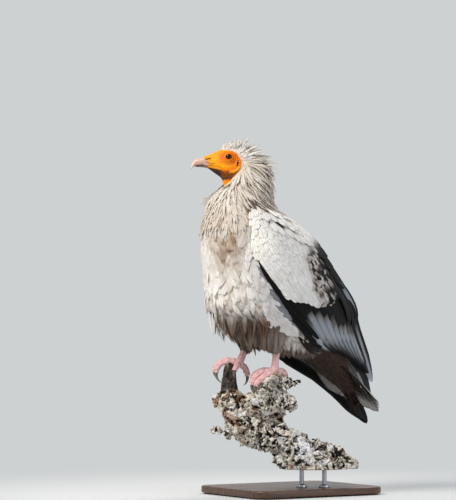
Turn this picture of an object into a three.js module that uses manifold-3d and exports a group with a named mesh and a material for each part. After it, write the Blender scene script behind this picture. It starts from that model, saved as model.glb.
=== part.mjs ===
// Egyptian vulture (Neophron percnopterus), adult, perched on a short cut branch that a plain
// display stand carries. Millimetres, +Z up. The bird's body faces -Y, its left side is +X, its
// head is turned to its right, and the origin is the middle of the stand's underside.
import * as THREE from 'three';
import { mergeVertices } from 'three/addons/utils/BufferGeometryUtils.js';
import Module from 'manifold-3d';

const wasm = await Module();
wasm.setup();

// ---------------------------------------------------------------- driving dimensions
const GAP = 0.5; // clearance left between neighbouring pieces
const FINE = 0.28; // detail finer than this is dropped from the plumage solids
const HEAD_TURN = THREE.MathUtils.degToRad(33); // how far the head is turned to the bird's right
const HEAD_POINT = [-12.6, -120.6, 589]; // middle of the head, level with the eyes
const EYE_RADIUS = 7.4;
const EYE_SPREAD = 13.2; // eye centre to the head's middle plane
const BODY_SIDES = 18; // corners of a trunk or neck section
const LIMB_SIDES = 6; // corners of a toe or tarsus section
const TAIL_ROOT = [0, 6, 271]; // where the tail feathers leave the body
const TAIL_SLOPE = THREE.MathUtils.degToRad(36.5);
const TAIL_LENGTH = 226;
const TAIL_FEATHERS = 10;
const SECONDARIES = 8; // feather tips along the trailing edge
const PRIMARIES = 5;
const TAIL_SPREAD = THREE.MathUtils.degToRad(12.5); // from the middle feather to the outermost
const WING_SHELL = 0.54; // share of the folded wing's length that its coverts cover
const RIGHT_WING_DROP = [-8, 13, -49]; // how much lower the right wing's tip hangs
const BASE_SIZE = [210, 264, 14]; // stand base, width, length and thickness
const BASE_CORNER = 26;
const BASE_RECESS = 8; // how deep the rods sit in the base
const ROD_RADIUS = 4;
const ROD_PLACES = [[40, -4], [66, 26]];
const ROD_TOP = 84;
const PERCH_CUT = 46; // height of the branch's lower saw cut

// ---------------------------------------------------------------- materials
const paint = (color, roughness = 0.75) =>
  new THREE.MeshStandardMaterial({ color, roughness, metalness: 0 });
const PLUMAGE = paint(0xe8e2d6);
const HACKLES = paint(0xe0d3bc);
const FACE = paint(0xf0a010, 0.55);
const HORN = paint(0xc9a597, 0.45);
const IRIS = paint(0x2a1208, 0.1);
const COVERTS = paint(0xeeecea);
const SECONDARY = paint(0xb9b8b6);
const PRIMARY = paint(0x17140f);
const TAIL_TINT = paint(0xcfc6b8);
const TROUSERS = paint(0xc8b8a4);
const LEG_SKIN = paint(0xdf9d9f, 0.6);
const CLAW = paint(0x4a423e, 0.4);
const BARK = paint(0x6d5c4c, 0.9);
const BASE_WOOD = paint(0x4a2f1e, 0.5);
const STEEL = new THREE.MeshStandardMaterial({ color: 0xa9abad, roughness: 0.35, metalness: 0.9 });

// ---------------------------------------------------------------- geometry helpers
const vec = (p) => new THREE.Vector3(...p);
const mix = (a, b, t) => a + (b - a) * t;
const clamp = THREE.MathUtils.clamp;
const bent = (value, power) => Math.sign(value) * Math.abs(value) ** power;
const series = (count, make) => Array.from({ length: count }, (_, i) => make(i, i / (count - 1)));

// A closed surface through rings of the same number of points, with a fan over each end.
function loft(rings) {
  const count = rings[0].length;
  const points = rings.flat();
  const faces = [];
  for (let r = 0; r + 1 < rings.length; r++) {
    for (let i = 0; i < count; i++) {
      const j = (i + 1) % count;
      const [a, b] = [r * count + i, r * count + j];
      faces.push(a, b, b + count, a, b + count, a + count);
    }
  }
  for (const [ring, turned] of [[0, false], [rings.length - 1, true]]) {
    const middle = points.length;
    points.push(rings[ring].reduce((s, p) => s.add(p), new THREE.Vector3()).divideScalar(count));
    for (let i = 0; i < count; i++) {
      const [a, b] = [ring * count + i, ring * count + ((i + 1) % count)];
      faces.push(...(turned ? [a, b, middle] : [b, a, middle]));
    }
  }
  const geometry = new THREE.BufferGeometry().setFromPoints(points);
  geometry.setIndex(faces);
  return geometry;
}

// A three.js geometry as a manifold solid, turned the right way out.
function solid(geometry) {
  const bare = geometry.clone();
  for (const name of Object.keys(bare.attributes)) {
    if (name !== 'position') bare.deleteAttribute(name);
  }
  const merged = mergeVertices(bare, 1e-4);
  const triVerts = new Uint32Array(merged.index.array);
  const vertProperties = new Float32Array(merged.attributes.position.array);
  const made = new wasm.Manifold(new wasm.Mesh({ numProp: 3, vertProperties, triVerts }));
  if (made.volume() > 0) return made;
  for (let i = 0; i < triVerts.length; i += 3) {
    [triVerts[i + 1], triVerts[i + 2]] = [triVerts[i + 2], triVerts[i + 1]];
  }
  return new wasm.Manifold(new wasm.Mesh({ numProp: 3, vertProperties, triVerts }));
}

const joined = (solids) => solids.reduce((sum, piece) => sum.add(piece));

// The largest body of a solid as a named mesh, after detail finer than a tolerance is dropped.
function named(name, made, material, tolerance = 0.05) {
  const bodies = made.simplify(tolerance).decompose().sort((a, b) => b.volume() - a.volume());
  const mesh = bodies[0].getMesh();
  const places = new Float32Array(mesh.numVert * 3);
  for (let i = 0; i < mesh.numVert; i++) {
    for (let k = 0; k < 3; k++) places[i * 3 + k] = mesh.vertProperties[i * mesh.numProp + k];
  }
  const geometry = new THREE.BufferGeometry();
  geometry.setAttribute('position', new THREE.BufferAttribute(places, 3));
  geometry.setIndex(new THREE.BufferAttribute(mesh.triVerts, 1));
  const result = new THREE.Mesh(geometry, material);
  result.name = name;
  return result;
}

// Everything on the side of a plane that its normal points to.
function halfSpace(point, normal) {
  const size = 2000;
  const box = new THREE.BoxGeometry(size, size, size);
  box.translate(0, 0, size / 2);
  const turn = new THREE.Quaternion().setFromUnitVectors(new THREE.Vector3(0, 0, 1), normal);
  box.applyQuaternion(turn).translate(point.x, point.y, point.z);
  return solid(box);
}

// A section square to the bird's middle plane: its front and its back are given as [y, z].
function trunkRing({ x = 0, front, back, wide, power = 0.92 }, grow = 0) {
  const middle = new THREE.Vector3(x, (front[0] + back[0]) / 2, (front[1] + back[1]) / 2);
  const deep = new THREE.Vector3(0, back[0] - front[0], back[1] - front[1]);
  const half = deep.length() / 2 + grow;
  deep.normalize();
  return series(BODY_SIDES, (i) => {
    const turn = (i / BODY_SIDES) * Math.PI * 2;
    const across = bent(Math.sin(turn), power) * (wide + grow);
    return middle
      .clone()
      .addScaledVector(deep, bent(Math.cos(turn), power) * half)
      .add(new THREE.Vector3(across, 0, 0));
  });
}

// A tapering round limb through stations [x, y, z, radius], with one section at each station.
function limb(stations, grow = 0, sides = LIMB_SIDES) {
  const centres = stations.map(([x, y, z]) => new THREE.Vector3(x, y, z));
  const across = new THREE.Vector3();
  const side = new THREE.Vector3();
  const rings = stations.map(([, , , radius], i) => {
    const before = centres[Math.max(i - 1, 0)];
    const after = centres[Math.min(i + 1, centres.length - 1)];
    const along = after.clone().sub(before).normalize();
    if (i === 0) {
      across.set(0, 0, 1).cross(along);
      if (across.length() < 0.3) across.set(1, 0, 0);
    }
    across.addScaledVector(along, -across.dot(along)).normalize();
    side.crossVectors(along, across);
    return series(sides, (k) => {
      const turn = (k / sides) * Math.PI * 2;
      return centres[i]
        .clone()
        .addScaledVector(across, Math.cos(turn) * (radius + grow))
        .addScaledVector(side, Math.sin(turn) * (radius + grow));
    });
  });
  return solid(loft(rings));
}

// A pointed feather: a flat three-cornered blade from its root towards a direction.
function blade(root, direction, length, width, thickness = 3) {
  const along = direction.clone().normalize();
  const across = new THREE.Vector3(0, 0, 1).cross(along);
  if (across.length() < 0.2) across.set(1, 0, 0);
  across.normalize();
  const up = along.clone().cross(across);
  const ring = (t) =>
    [[0.5, -0.3], [-0.5, -0.3], [0, 0.7]].map(([a, b]) =>
      root
        .clone()
        .addScaledVector(along, length * t)
        .addScaledVector(across, a * width)
        .addScaledVector(up, b * thickness),
    );
  const tip = root.clone().addScaledVector(along, length);
  const geometry = new THREE.BufferGeometry().setFromPoints([...ring(0), ...ring(0.5), tip]);
  geometry.setIndex([0, 1, 2, 0, 3, 1, 1, 3, 4, 1, 4, 2, 2, 4, 5, 2, 5, 0, 0, 5, 3, 3, 6, 4, 4, 6, 5,
    5, 6, 3]);
  return solid(geometry);
}

// A closed plate between two grids of points that have the same number of rows and lanes.
function panel(outer, inner) {
  const [rows, lanes] = [outer.length, outer[0].length];
  const faces = [];
  const at = (r, k, under = 0) => under * rows * lanes + r * lanes + k;
  const quad = (a, b, c, d) => faces.push(a, b, c, a, c, d);
  for (let r = 0; r + 1 < rows; r++) {
    for (let k = 0; k + 1 < lanes; k++) {
      quad(at(r, k), at(r, k + 1), at(r + 1, k + 1), at(r + 1, k));
      quad(at(r, k, 1), at(r + 1, k, 1), at(r + 1, k + 1, 1), at(r, k + 1, 1));
    }
    quad(at(r, 0), at(r + 1, 0), at(r + 1, 0, 1), at(r, 0, 1));
    quad(at(r, lanes - 1, 1), at(r + 1, lanes - 1, 1), at(r + 1, lanes - 1), at(r, lanes - 1));
  }
  for (let k = 0; k + 1 < lanes; k++) {
    quad(at(0, k, 1), at(0, k + 1, 1), at(0, k + 1), at(0, k));
    quad(at(rows - 1, k), at(rows - 1, k + 1), at(rows - 1, k + 1, 1), at(rows - 1, k, 1));
  }
  const geometry = new THREE.BufferGeometry().setFromPoints([...outer.flat(), ...inner.flat()]);
  geometry.setIndex(faces);
  return solid(geometry);
}

// ---------------------------------------------------------------- head
const headForward = new THREE.Vector3(-Math.sin(HEAD_TURN), -Math.cos(HEAD_TURN), 0);
const headLeft = new THREE.Vector3(Math.cos(HEAD_TURN), -Math.sin(HEAD_TURN), 0);
const onHead = (ahead, left, up) =>
  vec(HEAD_POINT)
    .addScaledVector(headForward, ahead)
    .addScaledVector(headLeft, left)
    .add(new THREE.Vector3(0, 0, up));

// A section of the head or bill: an oval between a top and a bottom height.
function headRing([ahead, top, bottom, wide], grow = 0, sides = 16) {
  return series(sides, (i) => {
    const turn = (i / sides) * Math.PI * 2;
    const height = (top - bottom) / 2 + grow;
    const left = bent(Math.sin(turn), 0.92) * (wide + grow);
    return onHead(ahead, left, (top + bottom) / 2 + bent(Math.cos(turn), 0.95) * height);
  });
}

// [ahead of the eye, top, bottom, half width], from the loose crest to the bill's root.
const HEAD_SECTIONS = [
  [-66, -6, -34, 12], [-59, 5, -44, 20], [-49, 13.5, -52, 25], [-36, 19, -54, 27],
  [-22, 21.5, -52, 26], [-10, 20.5, -50, 23], [-1, 18, -47, 19.5], [7, 16, -41, 17],
  [15, 13.6, -33.5, 14.2], [23, 10.4, -27.6, 11.6], [31, 6.6, -22, 9.5], [39, 3.4, -17.4, 8],
  [44.6, 1.2, -14.8, 7.2],
];
const BILL_SECTIONS = [
  [45, 1.1, -14.4, 7], [50, -0.2, -14.4, 6.3], [55, -1.2, -14.4, 5.4], [59.5, -3.2, -15.2, 4.4],
  [63, -7, -17, 3.4], [65.2, -11.4, -19.8, 2.3], [66, -16.4, -22.2, 1.3], [65.6, -20.4, -23, 0.5],
];
const LOWER_BILL_SECTIONS = [
  [39.6, -17.6, -20.6, 6], [45, -15, -19.8, 5.6], [51, -14.9, -18.8, 4.4], [56, -15.6, -18.2, 3],
];

// The crest over the crown and the nape's loose hackles, in rows from the forehead down.
const CREST_ROWS = [
  { lean: 2, ahead: 2, up: 12, count: 3, length: 19, spread: 0.45 },
  { lean: 14, ahead: -10, up: 15, count: 3, length: 24, spread: 0.55 },
  { lean: 26, ahead: -22, up: 15, count: 4, length: 29, spread: 0.7 },
  { lean: 44, ahead: -36, up: 12, count: 4, length: 27, spread: 0.75 },
  { lean: 60, ahead: -48, up: 6, count: 4, length: 30, spread: 0.85 },
  { lean: 76, ahead: -56, up: -4, count: 4, length: 31, spread: 0.85 },
  { lean: 94, ahead: -58, up: -17, count: 4, length: 27, spread: 0.9 },
  { lean: 116, ahead: -58, up: -30, count: 4, length: 28, spread: 0.9 },
];
function crestBlades() {
  return CREST_ROWS.flatMap(({ lean, ahead, up, count, length, spread }) =>
    series(count, (i, t) => {
      const turn = THREE.MathUtils.degToRad(lean);
      const side = mix(-spread, spread, t);
      const root = onHead(ahead + Math.abs(side) * 4, side * 19, up - Math.abs(side) * 8);
      const direction = new THREE.Vector3(0, 0, Math.cos(turn))
        .addScaledVector(headForward, -Math.sin(turn))
        .addScaledVector(headLeft, side * 0.75);
      return blade(root, direction, length * (1 - 0.15 * Math.abs(side)), 6.5);
    }),
  );
}

// ---------------------------------------------------------------- neck and trunk
// Sections from the top of the neck to the root of the tail, out to the coat's surface.
const BODY_SECTIONS = [
  { x: 11, front: [-112, 583], back: [-62, 585], wide: 19 },
  { x: 11, front: [-117, 571], back: [-56, 575], wide: 25 },
  { x: 10, front: [-129, 558], back: [-52, 562], wide: 30 },
  { x: 7, front: [-143, 544], back: [-50, 547], wide: 35 },
  { x: 5, front: [-158, 530], back: [-49, 533], wide: 42 },
  { x: 2, front: [-167, 512], back: [-49, 516], wide: 50 },
  { x: 0, front: [-171, 494], back: [-47, 501], wide: 57 },
  { x: 0, front: [-174, 476], back: [-36, 491], wide: 67 },
  { x: 0, front: [-177, 457], back: [-18, 478], wide: 76 },
  { x: 0, front: [-177, 436], back: [6, 458], wide: 83 },
  { x: 0, front: [-174, 412], back: [30, 434], wide: 87 },
  { x: 0, front: [-169, 388], back: [50, 408], wide: 88 },
  { x: 0, front: [-166, 364], back: [66, 382], wide: 87 },
  { x: 0, front: [-165, 342], back: [79, 358], wide: 85 },
  { x: 0, front: [-161, 324], back: [89, 336], wide: 82 },
  { x: 0, front: [-146, 308], back: [97, 316], wide: 78 },
  { x: 0, front: [-122, 292], back: [104, 297], wide: 72 },
  { x: 0, front: [-94, 275], back: [110, 278], wide: 65 },
  { x: 0, front: [-58, 262], back: [116, 258], wide: 56 },
  { x: 0, front: [-16, 252], back: [122, 238], wide: 46 },
  { x: 0, front: [28, 236], back: [128, 218], wide: 37 },
  { x: 0, front: [66, 214], back: [131, 198], wide: 28 },
  { x: 0, front: [98, 192], back: [134, 182], wide: 18 },
];

// Skirts of blades round the neck, the breast's hanging edge and the flanks; turn 0 faces ahead.
const SKIRTS = [
  { height: 546, centre: [8, -97], reach: [28, 33], turn: [-85, 15], count: 5, length: 34, out: 1.25 },
  { height: 530, centre: [6, -104], reach: [33, 40], turn: [-75, -15], count: 3, length: 30, out: 0.8 },
  { height: 550, centre: [9, -90], reach: [24, 29], turn: [105, 215], count: 5, length: 42, out: 0.4 },
  { height: 528, centre: [5, -98], reach: [36, 40], turn: [80, 245], count: 7, length: 44, out: 0.24 },
  { height: 326, centre: [0, -60], reach: [60, 92], turn: [-52, 44], count: 8, length: 40, out: -0.12 },
  { height: 306, centre: [0, -58], reach: [52, 76], turn: [-48, 20], count: 5, length: 42, out: -0.16 },
];
const FLANK = { from: [62, -60, 300], to: [50, 24, 282], count: 4, length: 50, lean: [0, 0.4, -1] };

function skirtBlades() {
  const skirts = SKIRTS.flatMap(({ height, centre, reach, turn: [from, to], count, length, out }) =>
    series(count, (i, t) => {
      const turn = THREE.MathUtils.degToRad(mix(from, to, t));
      const outward = new THREE.Vector3(Math.sin(turn), -Math.cos(turn), 0);
      const root = new THREE.Vector3(centre[0] + outward.x * reach[0],
        centre[1] + outward.y * reach[1], height);
      const direction = outward.clone().multiplyScalar(out).add(new THREE.Vector3(0, 0, -1));
      return blade(root, direction, length, 10, 5);
    }),
  );
  const flanks = [1, -1].flatMap((side) =>
    series(FLANK.count, (i, t) => {
      const root = vec(FLANK.from).lerp(vec(FLANK.to), t);
      root.x *= side;
      return blade(root, vec(FLANK.lean), FLANK.length * (1 - 0.25 * t), 15, 9);
    }),
  );
  return [...skirts, ...flanks];
}

const bodyLoft = (grow = 0) => solid(loft(BODY_SECTIONS.map((s) => trunkRing(s, grow))));
const headLoft = () => solid(loft(HEAD_SECTIONS.map((s) => headRing(s))));

// ---------------------------------------------------------------- wings
// The folded left wing is a curved patch. Each row holds its lower edge, its middle line and its
// upper edge, from the bend of the wing to its tip.
const WING_ROWS = [
  [[72, -128, 466], [79, -104, 483], [60, -76, 491]],
  [[85, -124, 402], [96, -80, 441], [52, -20, 469]],
  [[90, -98, 360], [98, -36, 398], [48, 28, 432]],
  [[88, -68, 324], [93, 0, 356], [46, 72, 373]],
  [[80, -28, 296], [80, 38, 318], [40, 105, 330]],
  [[66, 22, 262], [63, 68, 281], [33, 118, 291]],
  [[50, 78, 244], [46, 106, 250], [27, 137, 250]],
  [[35, 122, 212], [31, 142, 214], [21, 156, 211]],
  [[22, 158, 163], [19, 168, 167], [14, 173, 171]],
];

function wingCurves(side) {
  return [0, 1, 2].map((column) => {
    const points = WING_ROWS.map((row, i) => {
      const along = i / (WING_ROWS.length - 1);
      const point = vec(row[column]);
      if (side < 0) {
        point.x *= -1;
        point.addScaledVector(vec(RIGHT_WING_DROP), THREE.MathUtils.smoothstep(along, 0.42, 0.86));
      }
      return point;
    });
    return new THREE.CatmullRomCurve3(points, false, 'centripetal');
  });
}

// A point of the wing's outer surface: along from bend to tip, across from lower to upper edge.
function wingPoint(curves, along, across) {
  const place = clamp(along, 0, 1);
  const [low, middle, high] = curves.map((curve) => curve.getPoint(place));
  const bow = 4 * across * (1 - across);
  return low
    .multiplyScalar((1 - across) * (1 - 2 * across))
    .addScaledVector(middle, bow)
    .addScaledVector(high, across * (2 * across - 1));
}

function wingNormal(curves, side, along, across) {
  const step = 0.02;
  const [p, q] = [clamp(along, step, 0.96), clamp(across, step, 1 - step)];
  const forward = wingPoint(curves, p + step, q).sub(wingPoint(curves, p - step, q));
  const upward = wingPoint(curves, p, q + step).sub(wingPoint(curves, p, q - step));
  return forward.cross(upward).normalize().multiplyScalar(side);
}

// A layer of the wing between two depths under its outer surface. Its rows run from one place
// along the wing to another, which may differ from lane to lane.
function wingLayer(side, { rows, lanes, across, from, to, depth, thick }, grow = 0) {
  const curves = wingCurves(side);
  const edge = grow * 0.01;
  const grid = (extra) =>
    series(rows, (r, t) =>
      series(lanes, (k, u) => {
        const place = mix(across[0] - edge, across[1] + edge, u);
        const along = mix(from, to(u) + edge * 0.3, t);
        const normal = wingNormal(curves, side, along, place);
        return wingPoint(curves, along, place).addScaledVector(normal, -extra(u));
      }));
  return panel(grid((u) => depth(u) - grow), grid((u) => depth(u) + thick(u) + grow));
}
const middling = (u) => Math.sin(Math.PI * u);
const scallop = (u, count) => 1 - Math.abs(Math.sin(Math.PI * u * count)) ** 0.7;

// The coverts: the front of the wing as one padded layer, thinner towards its edges.
const wingShell = (side, grow = 0) =>
  wingLayer(side, {
    rows: 8, lanes: 7, across: [0, 1], from: 0, to: (u) => WING_SHELL + 0.05 * middling(u),
    depth: () => 0, thick: (u) => mix(9, 18, middling(u)),
  }, grow);
// Secondaries leave the coverts, the first at the wing's lower edge and the last at its upper.
const secondaries = (side, grow = 0) =>
  wingLayer(side, {
    rows: 3, lanes: 1 + 2 * SECONDARIES, across: [0.02, 0.86], from: WING_SHELL - 0.03,
    to: (u) => mix(0.68, 0.88, u ** 0.8) - 0.028 * scallop(u, SECONDARIES),
    depth: () => 3.4, thick: () => 1.6,
  }, grow);
// Primaries lie under the secondaries and reach the wing's tip.
const primaries = (side, grow = 0) =>
  wingLayer(side, {
    rows: 5, lanes: 1 + 2 * PRIMARIES, across: side > 0 ? [0.42, 0.98] : [0, 0.8], from: 0.56,
    to: (u) => (side > 0 ? mix(1, 0.9, u) : mix(0.94, 1, u)) - 0.02 * scallop(u, PRIMARIES),
    depth: () => 6.4, thick: () => 1.8,
  }, grow);

// ---------------------------------------------------------------- tail
const tailAlong = new THREE.Vector3(0, Math.cos(TAIL_SLOPE), -Math.sin(TAIL_SLOPE));
const tailUp = new THREE.Vector3(0, Math.sin(TAIL_SLOPE), Math.cos(TAIL_SLOPE));

// The wedge-shaped fan of tail feathers, domed a little from side to side.
function tailFan(grow = 0) {
  const lanes = 1 + 2 * TAIL_FEATHERS;
  const grid = (lift) =>
    series(4, (r, t) =>
      series(lanes, (k, u) => {
        const place = mix(-1, 1, u);
        const length = TAIL_LENGTH - 40 * Math.abs(place) ** 1.4 - 9 * scallop(u, TAIL_FEATHERS);
        const turn = place * TAIL_SPREAD;
        const reach = mix(0.3, 1, t) * length + grow * t;
        return vec(TAIL_ROOT)
          .addScaledVector(tailAlong, Math.cos(turn) * reach)
          .add(new THREE.Vector3(Math.sin(turn) * reach, 0, 0))
          .addScaledVector(tailUp, lift + 3 - 9 * place * place);
      }));
  return panel(grid(1.1 + grow), grid(-1.1 - grow));
}

// ---------------------------------------------------------------- legs and feet
// Stations are [x, y, z, radius].
const LEGS = {
  left: {
    thigh: [[36, -62, 335, 34], [36, -60, 305, 32], [33, -52, 279, 23], [30, -48, 262, 14],
      [28, -47, 250, 8]],
    tarsus: [[26, -41, 275, 5.4], [27, -47, 249, 5], [27.5, -50, 232, 5], [27, -51, 222, 6]],
    pad: [[27, -50, 225, 6], [27, -52, 220, 7.6], [27, -53, 214, 6.4]],
    toes: [
      [[27, -54, 217, 5.4], [22, -62, 216, 5], [17, -72, 214, 4.9], [13, -80, 207, 4.8],
        [10, -85, 198, 4.4], [9, -86, 192, 3.6]],
      [[24, -54, 217, 5.2], [13, -61, 217, 4.6], [3, -68, 214, 4.2], [-4, -74, 209, 3.8],
        [-6, -77, 203, 3.2]],
      [[30, -55, 216, 5.2], [30, -66, 211, 4.6], [26, -76, 204, 4.3], [21, -83, 196, 3.9],
        [19, -85, 190, 3.2]],
      [[28, -50, 217, 5.2], [29, -41, 216, 4.8], [29.5, -33, 211, 4.6], [29.5, -31, 203, 3.6]],
    ],
    claws: [
      [[8.6, -86.6, 189.6, 3], [8, -86, 185, 2.3], [8.6, -84, 180, 1.3], [10, -81, 176, 0.5]],
      [[-6.4, -77.6, 200.6, 2.6], [-6.6, -77, 196, 2], [-5.4, -75, 191, 1.2], [-3, -72, 188, 0.5]],
      [[18.4, -85.6, 187.6, 2.6], [18, -85, 183, 2], [18.4, -83, 178, 1.2], [20, -80, 175, 0.5]],
      [[29.6, -31.2, 200.4, 3], [29.4, -32, 195, 2.3], [29, -35, 190, 1.3], [28.6, -39, 187, 0.5]],
    ],
  },
  right: {
    thigh: [[-42, -66, 330, 33], [-46, -66, 300, 30], [-44, -64, 277, 22], [-42, -66, 261, 13],
      [-40, -69, 250, 7.5]],
    tarsus: [[-42, -57, 278, 5.4], [-40, -68, 255, 5], [-39.5, -77, 240, 5.2], [-39, -81, 232, 6]],
    pad: [[-39, -79, 236, 6], [-39, -83, 231, 7.4], [-39, -85, 226, 6.2]],
    toes: [
      [[-40, -86, 230, 5.4], [-43, -92, 233, 5], [-48, -102, 234, 5], [-56, -111, 229, 4.9],
        [-60, -116, 221, 4.6], [-61, -117, 213, 3.6]],
      [[-42, -84, 230, 5.2], [-54, -88, 231, 4.6], [-65, -97, 231, 4.2], [-72, -106, 227, 3.9],
        [-74, -111, 221, 3.2]],
      [[-37, -86, 229, 5.2], [-32, -92, 225, 4.8], [-30, -98, 217, 3.8]],
      [[-39, -81, 229, 5.2], [-39, -74, 224, 4.8], [-38, -69, 216, 4.4], [-37, -67, 207, 3.5]],
    ],
    claws: [
      [[-60.8, -117, 210.6, 3], [-60, -116.6, 205, 2.3], [-57, -114, 199, 1.4], [-52, -109, 194, 0.5]],
      [[-74.2, -112, 218.6, 2.6], [-74.4, -113.4, 214, 2], [-73, -113.6, 209, 1.3], [-70, -112, 206, 0.5]],
      [[-30, -98.8, 214.6, 2.8], [-30.6, -99.4, 210, 2.1], [-31, -98.6, 206, 1.3], [-32, -96, 203, 0.5]],
      [[-36.8, -67, 204.4, 2.9], [-36.8, -68, 199, 2.2], [-36.6, -71, 194, 1.3], [-36.4, -75, 191, 0.5]],
    ],
  },
};
const footSolid = ({ pad, toes }, grow = 0, sides = LIMB_SIDES) =>
  joined([pad, ...toes].map((path) => limb(path, grow, sides)));

// ---------------------------------------------------------------- perch
// A gnarled length of branch: sections with lobes that turn slowly as they climb.
function gnarled(path, rough = 0.16, sides = path.length > 6 ? 9 : 6) {
  const curve = new THREE.CatmullRomCurve3(path.map(([x, y, z]) => new THREE.Vector3(x, y, z)));
  const across = new THREE.Vector3(1, 0.2, 0);
  const rings = series(path.length > 6 ? path.length * 2 : path.length + 1, (i, t) => {
    const centre = curve.getPoint(t);
    const along = curve.getTangent(t);
    across.addScaledVector(along, -across.dot(along)).normalize();
    const side = along.clone().cross(across);
    const spot = Math.min(t * (path.length - 1), path.length - 1.001);
    const k = Math.floor(spot);
    const radius = mix(path[k][3], path[k + 1][3], spot - k);
    return series(sides, (j) => {
      const turn = (j / sides) * Math.PI * 2;
      const lobes = Math.sin(4 * turn + 7 * t) * Math.cos(3 * turn - 9 * t);
      const reach = radius * (1 + rough * lobes + rough * 0.5 * Math.sin(2 * turn + 21 * t));
      return centre.clone().addScaledVector(across, Math.cos(turn) * reach)
        .addScaledVector(side, Math.sin(turn) * reach);
    });
  });
  return solid(loft(rings));
}
const PERCH_LIMBS = {
  trunk: [[68, 34, 14, 50], [50, 8, 46, 43], [34, -16, 74, 35], [20, -36, 92, 29],
    [2, -56, 106, 26], [-17, -80, 122, 27], [-30, -94, 146, 27], [-40, -100, 168, 22],
    [-45, -100, 182, 15]],
  stub: [[-42, -99, 168, 19], [-46, -99, 180, 16], [-48, -99, 196, 14], [-47, -98.5, 212, 11.5],
    [-47, -98, 224, 9], [-46, -97, 233, 5]],
  knob: [[-4, -76, 148, 20], [8, -68, 168, 18], [18, -62, 186, 21], [23, -58, 200, 21],
    [26, -55, 210, 13]],
  spur: [[20, -56, 192, 12], [34, -40, 196, 7], [44, -28, 197, 5], [51, -16, 197, 2.5]],
  elbow: [[-14, -78, 150, 22], [8, -64, 160, 20], [28, -46, 168, 15], [38, -32, 163, 12],
    [40, -25, 152, 6]],
  bump: [[-40, -102, 150, 16], [-48, -110, 162, 12], [-54, -119, 173, 6]],
  twig: [[-28, -96, 118, 7], [-40, -114, 116, 3.4], [-52, -128, 112, 2.4]],
  snag: [[-32, -100, 126, 9], [-36, -107, 112, 6], [-38, -109, 98, 2.5]],
  burl: [[40, 0, 78, 24], [60, 18, 74, 18], [74, 35, 72, 12], [82, 45, 66, 8]],
  root: [[60, 26, 48, 30], [78, 50, 52, 19], [86, 68, 50, 12], [90, 76, 44, 7]],
  far: [[0, -44, 112, 20], [-16, -26, 120, 15], [-24, -14, 132, 10], [-26, -8, 142, 5]],
};
const rod = (x, y, from, to, radius = ROD_RADIUS) =>
  solid(new THREE.CylinderGeometry(radius, radius, to - from, 12)
    .rotateX(Math.PI / 2).translate(x, y, (from + to) / 2));

// ---------------------------------------------------------------- stand
function standBase() {
  const [wide, long, thick] = BASE_SIZE;
  const outline = new THREE.Shape();
  const [x, y, r] = [wide / 2, long / 2, BASE_CORNER];
  outline.moveTo(-x + r, -y);
  outline.lineTo(x - r, -y);
  outline.absarc(x - r, -y + r, r, -Math.PI / 2, 0);
  outline.lineTo(x, y - r);
  outline.absarc(x - r, y - r, r, 0, Math.PI / 2);
  outline.lineTo(-x + r, y);
  outline.absarc(-x + r, y - r, r, Math.PI / 2, Math.PI);
  outline.lineTo(-x, -y + r);
  outline.absarc(-x + r, -y + r, r, Math.PI, Math.PI * 1.5);
  const bevel = 2;
  const plate = new THREE.ExtrudeGeometry(outline, {
    depth: thick - 2 * bevel, bevelThickness: bevel, bevelSize: bevel, bevelOffset: -bevel,
    bevelSegments: 1, curveSegments: 3, steps: 1,
  }).translate(0, 0, bevel);
  return ROD_PLACES.reduce(
    (rest, [px, py]) => rest.subtract(rod(px, py, thick - BASE_RECESS, thick + 5, ROD_RADIUS + GAP)),
    solid(plate));
}

// ---------------------------------------------------------------- assembly
const model = new THREE.Group();
const add = (name, made, material, tolerance) => model.add(named(name, made, material, tolerance));
const SIDES = { left: 1, right: -1 };

const whole = joined([bodyLoft(), headLoft(), ...crestBlades(), ...skirtBlades()]);
const trunkClear = joined([bodyLoft(GAP), ...skirtBlades()]);
const neckPoint = onHead(6, 0, -45);
const neckNormal = headForward.clone().multiplyScalar(0.654).add(new THREE.Vector3(0, 0, 0.757));
const trunkPoint = new THREE.Vector3(0, -60, 494);
const trunkNormal = new THREE.Vector3(0, -0.2, 0.98);
const cutAbove = (point, normal) => {
  const way = normal.clone().normalize();
  return halfSpace(point.clone().addScaledVector(way, GAP / 2), way);
};
const cutBelow = (point, normal) => cutAbove(point, normal.clone().negate());

const eyeBall = (side, grow = 0) => {
  const place = onHead(0, side * EYE_SPREAD, 0);
  const ball = new THREE.SphereGeometry(EYE_RADIUS + grow, 11, 6);
  return solid(ball.translate(place.x, place.y, place.z));
};
const upperBill = (grow = 0) => solid(loft(BILL_SECTIONS.map((s) => headRing(s, grow, 10))));
const lowerBill = (grow = 0) => solid(loft(LOWER_BILL_SECTIONS.map((s) => headRing(s, grow, 8))));

let head = whole.intersect(cutAbove(neckPoint, neckNormal)).subtract(lowerBill(GAP));
for (const side of Object.values(SIDES)) head = head.subtract(eyeBall(side, GAP));
add('head', head, FACE, FINE);
const neck = whole.intersect(cutBelow(neckPoint, neckNormal));
add('neck', neck.intersect(cutAbove(trunkPoint, trunkNormal)), HACKLES, FINE);
add('trunk', whole.intersect(cutBelow(trunkPoint, trunkNormal)), PLUMAGE, FINE);
add('bill_upper', upperBill(), HORN);
add('bill_lower', lowerBill().subtract(upperBill(GAP)), HORN);
for (const [name, side] of Object.entries(SIDES)) add(`eye_${name}`, eyeBall(side), IRIS);

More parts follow.
